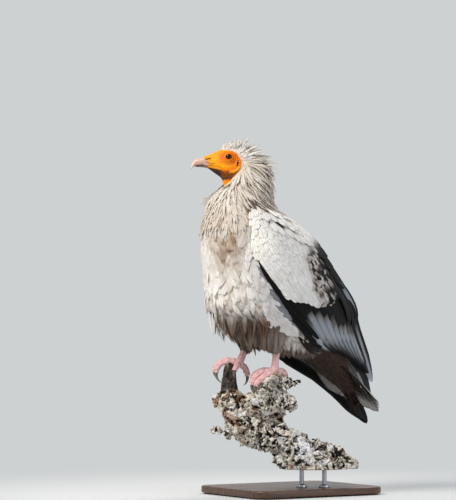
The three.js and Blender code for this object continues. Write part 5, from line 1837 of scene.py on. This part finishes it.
def quills(surface, roots, tips, width, heights, paint, rng, cell, profile=QUILL, tilt=0.0):
    """Long vanes between root and tip places of a surface, each with its own strip of an unwrap."""
    count = len(roots)
    stations = np.asarray(profile[0])
    u = mix(roots[:, :1], tips[:, :1], stations)
    v = mix(roots[:, 1:], tips[:, 1:], stations)
    point, _, _, normal = surface.frame(u, v)
    x0, y0, x1, y1 = cell
    spots = together(x0 + (np.arange(count) + 0.5) / count * (x1 - x0), (y0 + y1) / 2)
    patch = ((x1 - x0) / count * 0.9, (y1 - y0) * 0.96)

    def marks(along, across, chance):
        return paint(along, np.broadcast_to(across, along.shape), chance[:, None], roots, tips)

    return vanes(profile, point + normal * heights[..., None], normal, width, marks, spots, rng, 0.03,
                 columns=9, thick=0.5, camber=0.08, tilt=tilt, patch=patch, fray=0.05)


# Each paint gives the markings of quills at shares along and across the vane.
def secondary_paint(side):
    def paint(along, across, chance, roots, tips):
        u = roots[:, :1] + along * (tips - roots)[:, :1]
        v = roots[:, 1:] + along * (tips - roots)[:, 1:]
        across = across * side
        past = u - (np.interp(v, *SILVER_EDGE) + 0.02 * (chance - 0.5))
        pale = smooth(-0.01, 0.05, past)
        inner = smooth(-0.1, -0.5, across)
        rim = smooth(0.66, 0.92, across) * 0.95 + smooth(0.82, 0.92, along)
        far = 0.75 * smooth(0.09, 0.25, past)
        black = np.clip(1 - pale + pale * (0.16 + 0.2 * chance + far + inner + rim), 0, 1)
        silver = pale * mix(1.0, 0.6, smooth(0.05, 0.2, past))
        return together(pale * (0.12 + 0.2 * smooth(0.75, 1.0, along)), black, silver, 0)
    return paint


def tertial_paint(side):
    def paint(along, across, _chance, roots, _tips):
        pale = smooth(-0.5, -0.2, across * side) * smooth(0.25, 0.5, along) * (roots[:, 1:] > 0.955)
        black = np.clip(1.0 - pale * (0.72 + 0.28 * smooth(0.9, 1, along)), 0, 1)
        return together(0.1, black, 0.9, 0)
    return paint


def primary_paint(along, across, _chance, _roots, _tips):
    sheen = 0.04 * smooth(0.3, 0.9, np.abs(across))
    return together(0, 0.99 - sheen, 0.3, 0.3 * (1 - along))


# The tail's white underside painted in shade: dark brown at the base, grey at the pale tips, darker at the
# rims, and darker on the left half than the right.
def shaded_tail_paint(along, across, chance, roots, _tips):
    pale = 0.55 * smooth(0.36, 0.6, along) + 0.45 * smooth(0.7, 0.9, along)
    streak = 0.5 + 0.5 * np.sin(9 * along + 6 * chance)
    rim = np.maximum(smooth(0.74, 1, np.abs(across)), smooth(0.965, 1, along))
    black = mix(0.82, np.where(roots[:, 1:] < 0.5, 0.16, 0.34) + 0.2 * streak, pale) + 0.45 * rim
    return np.clip(together(0.1, black, 0.2 * pale, mix(1.0, 0.1, pale) + 0.3 * rim), 0, 1)


class VULTURE_OT_flight_feathers(bpy.types.Operator):
    """Makes the secondaries, tertials and primaries of both wings, and the tail"""

    bl_idname = "vulture.flight_feathers"
    bl_label = "Flight feathers"

    def execute(self, context):
        coat, look = context.scene.vulture_coat, context.scene.vulture_colours
        finish = shared("flight_vane", plumage_finish, look, look.white, 0.5)
        for name, side in SIDES.items():
            rng = np.random.default_rng(coat.seed + 7)
            surface = WING_SURFACES[name]
            pale = [self.secondaries(surface, side, rng), *self.tertials(surface, side, rng)]
            plumage_piece(f"secondary_vanes_{name}", pale, finish, "pale_vanes", f"secondaries_{name}")
            dark = [self.primaries(surface, side, rng)]
            if side > 0:
                dark.append(self.far_tail(surface, rng))
            plumage_piece(f"primary_vanes_{name}", dark, finish, "dark_vanes", f"primaries_{name}")
        tail = self.tail(np.random.default_rng(coat.seed + 9))
        plumage_piece("tail_vanes", [tail], finish, "pale_vanes", "tail")
        return {"FINISHED"}

    @staticmethod
    def secondaries(surface, side, rng):
        """Broad feathers with pale outer webs, the lowest one the shortest."""
        share = np.linspace(0, 1, SECONDARIES)
        across = mix(0.0, 0.84, share ** 1.3)
        tips = together(np.interp(across, [0, 0.06, 0.2, 0.3, 0.45, 0.84],
                                  [0.665, 0.74, 0.79, 0.85, 0.875, 0.885]), across)
        tips[:, 0] += rng.uniform(-0.008, 0.008, SECONDARIES)
        roots = together(mix(0.30, 0.40, share), mix(0.03, 0.86, share))
        over = -1.9 + 0.22 * np.arange(SECONDARIES)[:, None]
        return quills(surface, roots, tips, mix(24, 30, share), mix(-3.6, over, smooth(0, 0.7, ALONG_QUILL)),
                      secondary_paint(side), rng, tilt=0.05 * side, cell=(0.01, 0.02, 0.8, 0.98))

    @staticmethod
    def tertials(surface, side, rng):
        """Four dark feathers over the wing's upper edge, two of them tilted outwards."""
        roots = np.array([(0.34, 0.84), (0.38, 0.93), (0.46, 0.96), (0.28, 0.98)])
        tips = np.array([(0.58, 0.82), (0.82, 0.93), (0.925, 0.985), (0.595, 1.0)])
        heights = mix(np.array([0.2, 0.6, 0.6, 1.0]), np.array([0.4, 1.0, 1.6, 2.6]), ALONG_QUILL[:, None]).T
        for pick, tilt, cell in ((slice(0, 2), 0.04, (0.81, 0.02, 0.9, 0.98)),
                                 (slice(2, 4), -0.55, (0.91, 0.02, 0.99, 0.98))):
            yield quills(surface, roots[pick], tips[pick], np.array([25.0, 18]), heights[pick],
                         tertial_paint(side), rng, tilt=tilt * side, cell=cell)

    @staticmethod
    def primaries(surface, side, rng):
        """Black pointed feathers that fan out below the secondaries and past the wing's tip."""
        share = np.linspace(0, 1, PRIMARIES)
        if side > 0:
            tips = together(np.interp(share, [0, 0.25, 0.5, 1], [0.85, 0.94, 1.0, 0.9]),
                            np.interp(share, [0, 0.25, 0.5, 1], [0.14, 0.22, 0.45, 0.92]))
            roots = together(0.42, mix(0.1, 0.8, share))
        else:
            tips = together(mix(0.94, 1.0, share ** 0.7), mix(-0.04, 0.72, share))
            roots = together(0.44, mix(0.0, 0.6, share))
        heights = -4.6 - 0.35 * (PRIMARIES - 1 - np.arange(PRIMARIES)[:, None])
        return quills(surface, roots, tips, np.full(PRIMARIES, 25.0), heights, primary_paint, rng,
                      profile=POINTED, tilt=0.03 * side, cell=(0.01, 0.02, 0.7, 0.98))

    @staticmethod
    def far_tail(surface, rng):
        """Tail feathers that show below the left wing's tip."""
        share = np.linspace(0, 1, FAR_TAIL)
        tips = together(mix(0.86, 1.0, share), mix(-0.32, 0.3, share))
        roots = together(0.5, mix(-0.08, 0.2, share))
        heights = -8.0 + 0.3 * np.arange(FAR_TAIL)[:, None]
        return quills(surface, roots, tips, np.full(FAR_TAIL, 24.0), heights, shaded_tail_paint, rng,
                      cell=(0.71, 0.02, 0.99, 0.98))

    @staticmethod
    def tail(rng):
        """A cupped wedge, its middle feathers the longest and on top."""
        share = np.linspace(-1, 1, TAIL)
        spread = np.abs(share)
        reach = 1 - np.where(share < 0, 0.28, 0.15) * spread ** 1.1
        roots = together(0.16, (share * 0.7 + 1) / 2)
        tips = together(reach, (share * np.where(share < 0, 1.06, 0.98) + 1) / 2)
        cupped = np.where(share > 0, 23.0, 7.0) * smooth(0.1, 1.0, spread)
        heights = -1.2 + 2.4 * (1 - spread[:, None])
        heights = heights + cupped[:, None] * np.interp(ALONG_QUILL, [0, 0.4, 0.62, 1], [0.1, 1, 0.95, 0.4])
        return quills(TAIL_SURFACE, roots, tips, np.full(TAIL, 27.0), heights, shaded_tail_paint, rng,
                      cell=(0.01, 0.02, 0.99, 0.98))


# ------------------------------------------------------------------ branch
CUT_HEIGHT = 46  # the saw cut at the branch's foot
CUT_HEART = (-0.052, -0.012, 0)  # moves the year rings' middle to the cut's
BARK_VOXEL = 1.35  # cell of the even mesh that takes the bark
# Depths, flake size and flake spacing in metres, by the names of the bark tree's inputs.
BARK = {"Swelling": 0.026, "Plates": 0.0066, "Pits": 0.0034, "Flake": 0.0036, "Spacing": 0.0062}


def field_group(name, *inputs):
    """A Geometry Nodes tree with a geometry input, named number inputs and a geometry output."""
    tree = bpy.data.node_groups.new(name, "GeometryNodeTree")
    tree.interface.new_socket("Geometry", in_out="INPUT", socket_type="NodeSocketGeometry")
    for label, kind in inputs:
        tree.interface.new_socket(label, in_out="INPUT", socket_type=kind)
    tree.interface.new_socket("Geometry", in_out="OUTPUT", socket_type="NodeSocketGeometry")
    nodes = Nodes(tree)
    return tree, nodes, nodes.add("NodeGroupInput"), nodes.add("NodeGroupOutput")


def run_group(piece, tree, values):
    """Runs a tree on a piece with values by input name, and makes the result its mesh."""
    modifier = piece.modifiers.new(tree.name, "NODES")
    modifier.node_group = tree
    for item in tree.interface.items_tree:
        if item.item_type == "SOCKET" and item.in_out == "INPUT" and item.name in values:
            modifier[item.identifier] = values[item.name]
    return applied(piece)


def bark_tree():
    """Craggy bark: swellings, split plates and pits pushed along the normal, then loose flakes."""
    tree, n, enter, leave = field_group(
        "bark", ("Swelling", "NodeSocketFloat"), ("Plates", "NodeSocketFloat"), ("Pits", "NodeSocketFloat"),
        ("Flake", "NodeSocketFloat"), ("Spacing", "NodeSocketFloat"), ("Material", "NodeSocketMaterial"))
    wanted = enter.outputs
    place = n.made("GeometryNodeInputPosition")
    clear = n.made("GeometryNodeInputNamedAttribute", {"Name": "clear"}, data_type="FLOAT")

    def noise(size, detail, warp):
        inputs = {"Vector": place, "Scale": 1 / size, "Detail": detail, "Roughness": 0.6,
                  "Distortion": warp}
        return n.minus(n.made("ShaderNodeTexNoise", inputs), 0.5)

    def ridged(size, warp):
        return n.spread(n.math("ABSOLUTE", noise(size, 2.5, warp)), 0.0, 0.15, 0.55, -0.45)

    def scaled(vector, factor):
        return n.made("ShaderNodeVectorMath", {0: vector, "Scale": factor}, operation="SCALE")

    def at_random(low, high, seed):
        inputs = {"Min": low, "Max": high, "Seed": seed}
        return n.made("FunctionNodeRandomValue", inputs, data_type="FLOAT_VECTOR")

    swell = n.times(noise(0.024, 1.5, 0.6), wanted["Swelling"])
    plate = n.times(ridged(0.024, 1.4), wanted["Plates"])
    hole = n.add("ShaderNodeTexVoronoi", {"Vector": place, "Scale": 1 / 0.016}).outputs["Distance"]
    pit = n.times(n.plus(ridged(0.011, 1.8), n.spread(hole, 0.14, 0.38, -2.1, 0.0)), wanted["Pits"])
    total = n.times(n.plus(n.plus(swell, plate), pit), clear)
    depth = n.plus(plate, pit)
    offset = scaled(n.made("GeometryNodeInputNormal"), total)
    moved = n.made("GeometryNodeSetPosition", {"Geometry": wanted[0], "Offset": offset})
    cavity = n.add("GeometryNodeStoreNamedAttribute", {"Geometry": moved, "Name": "cavity"},
                   data_type="FLOAT", domain="POINT")
    n.feed([s for s in cavity.inputs if s.name == "Value" and s.enabled][0], depth)
    points = n.add("GeometryNodeDistributePointsOnFaces",
                   {"Mesh": cavity.outputs[0], "Distance Min": wanted["Spacing"], "Density Max": 60000,
                    "Density Factor": n.times(clear, n.spread(depth, -0.0008, 0.0022)), "Seed": 4},
                   distribute_method="POISSON").outputs
    flake = n.made("GeometryNodeMeshIcoSphere", {"Radius": 1.0, "Subdivisions": 1})
    turn = n.made("FunctionNodeEulerToRotation", {0: at_random((-0.45, -0.8, -3), (0.45, 0.8, 3), 3)})
    lay = n.made("FunctionNodeRotateRotation", {0: points["Rotation"], 1: turn}, rotation_space="LOCAL")
    scale = scaled(at_random((0.7, 0.4, 0.1), (1.9, 1.0, 0.24), 8), wanted["Flake"])
    crumbs = n.made("GeometryNodeInstanceOnPoints", {"Points": points[0], "Instance": flake,
                                                     "Rotation": lay, "Scale": scale})
    both = n.add("GeometryNodeJoinGeometry")
    for part in (n.made("GeometryNodeRealizeInstances", {0: crumbs}), cavity.outputs[0]):
        n.feed(both.inputs[0], part)
    smoothed = n.made("GeometryNodeSetShadeSmooth", {"Geometry": both.outputs[0]})
    paint = {"Geometry": smoothed, "Material": wanted["Material"]}
    n.feed(leave.inputs[0], n.made("GeometryNodeSetMaterial", paint))
    return tree


def bark_values(p):
    """Shares of lichen, rotten wood, droppings and sawn wood at places on the branch."""
    x, y, z = p[:, 0], p[:, 1], p[:, 2]
    lichen = smooth(-0.5, 0.7, waves(p, 34, 21) + 0.35 * waves(p, 9, 22) + smooth(-30, 30, x) - 0.3)
    rot = smooth(0.5, 1.0, waves(p, 30, 23) + 0.3 * waves(p, 10, 24)
                 + 1.2 * bump(z, 140, 30) * smooth(0, -22, x))
    spot = np.sqrt(((x - 58) / 26) ** 2 + ((y + 14) / 17) ** 2 + ((z - 72) / 30) ** 2)
    streak = smooth(1.25, 0.8, spot + 0.25 * waves(p, 10, 25))
    streak = np.maximum(streak, 0.8 * smooth(0.9, 1.3, waves(p, 18, 27)))
    sawn = smooth(1.2, 0.4, z - CUT_HEIGHT)
    charred = smooth(24, 17, np.hypot(x + 47, y + 98.5)) * smooth(160, 178, z)
    return together(lichen * (1 - charred), rot * (1 - 0.8 * lichen), streak, sawn), charred


def bark_finish(look):
    """Weathered bark: cracked plates, pale lichen, reddish rotten wood, white droppings, with painted
    highlights on the raised plates and painted shade in the cracks.
    """
    f = Finish("bark", look.bark, Roughness=0.88, Specular_IOR_Level=0.2)
    lichen, rot, streak, sawn = f.values("growth")
    deep, charred = (f.add("ShaderNodeAttribute", attribute_name=name, attribute_type="GEOMETRY")
                     .outputs["Fac"] for name in ("cavity", "charred"))
    fibre = f.grain(0.0022, 5, 0.7, 0.6)
    f.lay(f.spread(f.grain(0.013, 4, 0.65), 0.32, 0.68), srgb(104, 90, 80))
    f.lay(f.spread(fibre, 0.4, 0.72), srgb(190, 177, 160))
    # Painted highlight on the raised parts.
    f.lay(f.spread(deep, 0.0008, 0.003), srgb(236, 228, 212), 0.95)
    f.lay(rot, look.rot, 0.6)
    f.lay(f.times(rot, f.spread(fibre, 0.45, 0.62)), srgb(186, 142, 100))
    f.lay(f.times(lichen, f.spread(f.grain(0.005, 4, 0.7), 0.4, 0.6)), srgb(196, 195, 188), 0.55)
    # Painted shade in the cracks and pits.
    f.lay(f.spread(deep, 0.001, -0.0011), srgb(16, 13, 11), 0.98)
    splash = f.times(streak, f.spread(f.grain(0.008, 3, 0.6), 0.32, 0.46))
    f.lay(f.times(splash, f.spread(deep, -0.004, 0.0)), srgb(240, 240, 240))
    scorched = f.blend(f.spread(f.grain(0.009, 3, 0.6), 0.58, 0.68), srgb(30, 23, 19), srgb(132, 106, 80))
    f.lay(charred, scorched, 0.94)
    rings = f.add("ShaderNodeTexWave", {0: f.stretched((1, 1, 0), CUT_HEART), "Scale": 110.0,
                                        "Distortion": 2.0, "Detail": 2.0},
                  wave_type="RINGS", rings_direction="SPHERICAL").outputs["Fac"]
    f.lay(sawn, f.blend(rings, srgb(190, 152, 112), srgb(150, 112, 78)))
    return f.done(f.plus(fibre, f.grain(0.0009, 3)), 0.0007)


class VULTURE_OT_branch(bpy.types.Operator):
    """Makes the craggy cut branch from its solid, with bark pushed out and loose flakes"""

    bl_idname = "vulture.branch"
    bl_label = "Branch"

    def execute(self, context):
        piece = add_object(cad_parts["perch"].data.copy())
        piece.name = piece.data.name = "branch"
        piece.data.materials.clear()
        made = bmesh.new()
        made.from_mesh(piece.data)
        bmesh.ops.remove_doubles(made, verts=made.verts, dist=1e-5)
        made.to_mesh(piece.data)
        made.free()
        remesh = piece.modifiers.new("even", "REMESH")
        remesh.mode = "VOXEL"
        remesh.voxel_size = BARK_VOXEL * MM
        applied(piece)
        p = points_of(piece.data)
        growth, charred = bark_values(p)
        clear = smooth(1.0, 9.0, p[:, 2] - CUT_HEIGHT) * (1 - 0.85 * charred)
        for leg in LEGS.values():
            for path in (leg["pad"], *leg["toes"], *leg["claws"]):
                row = spline(path, np.linspace(0, 1, 24))
                gap = np.linalg.norm(p[:, None] - row[None, :, :3], axis=-1) - row[None, :, 3]
                clear = clear * smooth(0.6, 5.0, gap.min(1))
        for name, values in (("growth", growth), ("charred", charred), ("clear", clear)):
            keep_values(piece.data, name, values)
        run_group(piece, bark_tree(), {**BARK, "Material": bark_finish(context.scene.vulture_colours)})
        piece.data.shade_smooth()
        finished(piece, "bark", "perch")
        return {"FINISHED"}


# ------------------------------------------------------------------ display stand
CRISP = math.radians(32)  # edges sharper than this aren't smoothed over
CORNERS = ((1, 1), (-1, 1), (-1, -1), (1, -1))


def lathe(profile, sides, at=(0, 0)):
    """Rings round an upright axis from (radius, height) rows."""
    rows = np.asarray(profile, float)
    turn = np.arange(sides) / sides * TURN
    x = at[0] + rows[:, :1] * np.cos(turn)
    y = at[1] + rows[:, :1] * np.sin(turn)
    return together(x, y, rows[:, 1:])


def board_rings(low, high, corner, bevel):
    """A board with rounded corners and rounded top and bottom edges."""
    middle, half = (low + high) / 2, (high - low) / 2
    turn, arc = (np.linspace(0, math.pi / 2, count) for count in (13, 7))
    rings = []
    profile = [(bevel * (1 - math.sin(t)), low[2] + bevel * (1 - math.cos(t))) for t in arc]
    profile += [(bevel * (1 - math.sin(t)), high[2] - bevel * (1 - math.cos(t))) for t in arc[::-1]]
    for inset, z in profile:
        radius = corner - inset
        ring = []
        for k, (sx, sy) in enumerate(CORNERS):
            t = turn + k * math.pi / 2
            ring.append(together(middle[0] + sx * (half[0] - corner) + radius * np.cos(t),
                                 middle[1] + sy * (half[1] - corner) + radius * np.sin(t), z))
        rings.append(np.concatenate(ring))
    return np.stack(rings)


def stand_wood_finish(look):
    """Stained close-grained wood with a satin lacquer."""
    f = Finish("stand_wood", look.stand_wood, Roughness=0.4, Coat_Weight=0.25, Coat_Roughness=0.25)
    along = f.stretched((9, 0.55, 9))
    bands = f.grain(1 / 26, 5, 0.6, 0.8, along)
    pores = f.grain(1 / 240, 2, 0.5, 0, along)
    f.lay(f.spread(bands, 0.35, 0.65), srgb(58, 34, 22))
    f.lay(f.spread(pores, 0.6, 0.7), srgb(36, 20, 13), 0.6)
    return f.done(pores, 0.0001, f.spread(bands, 0.3, 0.7, 0.33, 0.48))


def steel_finish():
    """Brushed steel."""
    f = Finish("stand_steel", srgb(172, 174, 178), Metallic=1.0, Roughness=0.28)
    brushed = f.grain(0.0006, 2, 0.5, 0, f.stretched((1, 1, 0.05)))
    f.lay(brushed, srgb(140, 142, 146))
    return f.done(brushed, 0.00002, f.spread(brushed, 0.3, 0.7, 0.22, 0.38))


def felt_finish():
    """Dark green felt."""
    f = Finish("felt", srgb(30, 40, 34), Roughness=0.95)
    fuzz = f.grain(0.0008, 3, 0.7)
    f.lay(fuzz, srgb(56, 68, 58))
    return f.done(fuzz, 0.0004)


FELT_THICK = 1.8
FELT_INSET = 24  # from the base's edges to a foot's middle
FELT_FOOT = [(3, 0), (9.2, 0), (9.8, 0.3), (9.8, 1.5), (9.2, FELT_THICK), (3, FELT_THICK)]
SINK = 0.2  # how far the base rests into its felt feet


class VULTURE_OT_stand(bpy.types.Operator):
    """Makes the wooden base, its felt feet and the steel rods with their collars"""

    bl_idname = "vulture.stand"
    bl_label = "Display stand"

    def execute(self, context):
        size, look = context.scene.vulture_stand, context.scene.vulture_colours
        low, high = (np.array(corner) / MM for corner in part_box("stand_base"))
        low[2] += FELT_THICK - SINK
        grid = board_rings(low, high, size.corner / MM, size.bevel / MM)
        turned("base_board", grid, stand_wood_finish(look), "stand_wood", "stand_base")
        felt = felt_finish()
        for k, corner in enumerate(CORNERS, 1):
            at = (low[:2] + high[:2]) / 2 + (high[:2] - low[:2]) / 2 * corner - np.array(corner) * FELT_INSET
            turned(f"felt_foot_{k}", lathe(FELT_FOOT, 40, at), felt, "stand_wood")
        steel = steel_finish()
        for k in (1, 2):
            foot, head = (np.array(corner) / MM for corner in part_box(f"stand_rod_{k}"))
            at, radius = (foot[:2] + head[:2]) / 2, (head[0] - foot[0]) / 2
            rows = self.rod_rows(radius, foot[2], head[2], high[2], size.collar / MM)
            turned(f"rod_{k}", lathe(rows, 56, at), steel, "stand_steel", f"stand_rod_{k}")
        return {"FINISHED"}

    @staticmethod
    def rod_rows(radius, low, high, floor, tall):
        """A rod's outline as (radius, height), with a rounded collar that stands on a floor."""
        return [(radius * 0.5, low), (radius, low), (radius, floor - 0.5), (radius + 5.4, floor - 0.4),
                (radius + 6, floor + 0.5), (radius + 6, floor + tall - 1.4),
                (radius + 5.5, floor + tall - 0.5), (radius + 4.6, floor + tall),
                (radius + 0.6, floor + tall), (radius, floor + tall + 0.4), (radius, high - 0.6),
                (radius - 0.6, high), (radius * 0.4, high)]


def turned(name, grid, finish, slot, *nodes):
    """A finished piece of the stand over rings of points, with crisp edges."""
    piece = add_object(shell(name, grid), finish)
    crisp_edges(piece.data)
    return finished(piece, slot, *nodes)


def crisp_edges(mesh):
    """Keeps sharp edges from being smoothed over."""
    made = bmesh.new()
    made.from_mesh(mesh)
    for edge in made.edges:
        edge.smooth = edge.calc_face_angle(0) < CRISP
    made.to_mesh(mesh)
    made.free()


# ------------------------------------------------------------------ room
PALE = srgb(206, 209, 210)
FLOOR_HEIGHT = -0.4
FLOOR_FADE = (0.25, 0.95)  # metres from the middle over which the floor's own look fades
CAMERA_TURN, CAMERA_RISE = math.radians(58), math.radians(-3)
CAMERA_AWAY = 3500
CAMERA_LENS, FILM_WIDE = 144, 36
LOOK_AT = np.array([-12.4, -120.7, 590])  # by the near eye
LOOK_PAST = (1.75, 162.75)  # how far left of it and below it the camera looks
# Lamps: towards the camera, to its right and up from where it looks, then watts, size and tint.
LAMPS = {
    "key": ((900, -1100, 1300), 38, 0.8, (255, 251, 246)),
    "fill": ((1200, 1500, 200), 9, 1.4, (236, 242, 255)),
    "rim": ((-1000, 700, 1100), 12, 0.9, (255, 252, 246)),
}


def floor_finish():
    """A pale floor that takes shadows near the stand and melts into the surroundings."""
    f = Finish("floor", Roughness=1.0, Specular_IOR_Level=0.0, Base_Color=(*srgb(216, 218, 218), 1))
    reach = f.add("ShaderNodeVectorMath", {0: f.place}, operation="LENGTH").outputs["Value"]
    share = f.times(f.seen(), f.spread(reach, *FLOOR_FADE))
    glow = f.made("ShaderNodeEmission", {0: (*PALE, 1), 1: 1.0})
    both = f.made("ShaderNodeMixShader", {0: share, 1: f.shader.outputs[0], 2: glow})
    output = [node for node in f.tree.nodes if node.type == "OUTPUT_MATERIAL"][0]
    f.tree.links.new(both, output.inputs[0])
    return f.material


class VULTURE_OT_room(bpy.types.Operator):
    """Makes the floor, the pale surroundings, three soft lamps and the camera"""

    bl_idname = "vulture.room"
    bl_label = "Room, lamps and camera"

    def execute(self, context):
        scene = context.scene
        scene.view_settings.view_transform = "Standard"
        rings = lathe([(radius, FLOOR_HEIGHT) for radius in (0.5, 120, 900, 9000)], 64)
        floor = add_object(self.disc("floor", rings), floor_finish())
        floor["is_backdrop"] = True
        world = bpy.data.worlds.new("room")
        scene.world = world
        world.use_nodes = True
        n = Nodes(world.node_tree)
        n.tree.nodes.clear()
        shown = n.made("ShaderNodeBackground", {0: (*PALE, 1), 1: 1.0})
        fill = n.made("ShaderNodeBackground", {0: (*srgb(236, 240, 246), 1), 1: 0.45})
        both = n.made("ShaderNodeMixShader", {0: n.seen(), 1: fill, 2: shown})
        n.tree.links.new(both, n.add("ShaderNodeOutputWorld").inputs[0])
        way, right, up, target = self.view()
        camera = bpy.data.cameras.new("camera")
        camera.lens = CAMERA_LENS
        camera.sensor_width = FILM_WIDE
        camera.clip_end = 40
        scene.camera = self.stood("camera", camera, target + way * CAMERA_AWAY, way)
        for name, ((ahead, aside, above), power, size, tint) in LAMPS.items():
            light = bpy.data.lights.new(name, "AREA")
            light.shape = "DISK"
            light.size = size
            light.energy = power
            light.color = srgb(*tint)
            place = target + way * ahead + right * aside + up * above
            self.stood(name, light, place, place - target)
        return {"FINISHED"}

    @staticmethod
    def stood(name, data, place, back):
        """A camera or lamp at a place, with its back turned a given way."""
        seat = bpy.data.objects.new(name, data)
        seat.location = Vector(place * MM)
        seat.rotation_euler = Vector(back).to_track_quat("Z", "Y").to_euler()
        bpy.context.scene.collection.objects.link(seat)
        return seat

    @staticmethod
    def view():
        """The way to the camera, its right and up, and where it looks."""
        turn, rise = CAMERA_TURN, CAMERA_RISE
        way = np.array([math.sin(turn) * math.cos(rise), -math.cos(turn) * math.cos(rise), math.sin(rise)])
        right = np.array([math.cos(turn), math.sin(turn), 0])
        up = np.cross(way, right)
        return way, right, up, LOOK_AT - LOOK_PAST[0] * right - LOOK_PAST[1] * up

    @staticmethod
    def disc(name, grid):
        """A flat disc that faces up."""
        rings, sides, _ = grid.shape
        k = np.arange(sides)
        tris = together(rings * sides, k, (k + 1) % sides)
        points = np.vstack([grid.reshape(-1, 3), grid[0].mean(0)])
        return new_mesh(name, points, ring_quads(rings, sides)[:, [0, 3, 2, 1]], tris)


# ------------------------------------------------------------------ add-on
STEPS = (VULTURE_OT_room, VULTURE_OT_skin, VULTURE_OT_eyes, VULTURE_OT_bill, VULTURE_OT_claws,
         VULTURE_OT_scutes, VULTURE_OT_crest, VULTURE_OT_hackles, VULTURE_OT_trunk_coat, VULTURE_OT_coverts,
         VULTURE_OT_flight_feathers, VULTURE_OT_branch, VULTURE_OT_stand)


class VULTURE_PT_maker(bpy.types.Panel):
    """Sidebar page with one button for each piece"""

    bl_label = "Vulture maker"
    bl_idname = "VULTURE_PT_maker"
    bl_space_type = "VIEW_3D"
    bl_region_type = "UI"
    bl_category = "Vulture"

    def draw(self, context):
        layout = self.layout
        for title, group in (("Coat", context.scene.vulture_coat), ("Colours", context.scene.vulture_colours),
                             ("Stand", context.scene.vulture_stand)):
            box = layout.box()
            box.label(text=title)
            for name in group.__annotations__:
                box.prop(group, name)
        for step in STEPS:
            layout.operator(step.bl_idname, text=step.bl_label)


CLASSES = (VultureCoat, VultureColours, VultureStand, *STEPS, VULTURE_PT_maker)


def register():
    for each in CLASSES:
        bpy.utils.register_class(each)
    bpy.types.Scene.vulture_coat = PointerProperty(type=VultureCoat)
    bpy.types.Scene.vulture_colours = PointerProperty(type=VultureColours)
    bpy.types.Scene.vulture_stand = PointerProperty(type=VultureStand)


def unregister():
    del bpy.types.Scene.vulture_stand
    del bpy.types.Scene.vulture_colours
    del bpy.types.Scene.vulture_coat
    for each in reversed(CLASSES):
        bpy.utils.unregister_class(each)


def main():
    register()
    for step in STEPS:
        group, name = step.bl_idname.split(".")
        getattr(getattr(bpy.ops, group), name)()
    box, now = CAD_BOX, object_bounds()
    sizes = {"cad": [list(corner) for corner in box], "visual": [list(corner) for corner in now]}


if __name__ == "__main__":
    main()
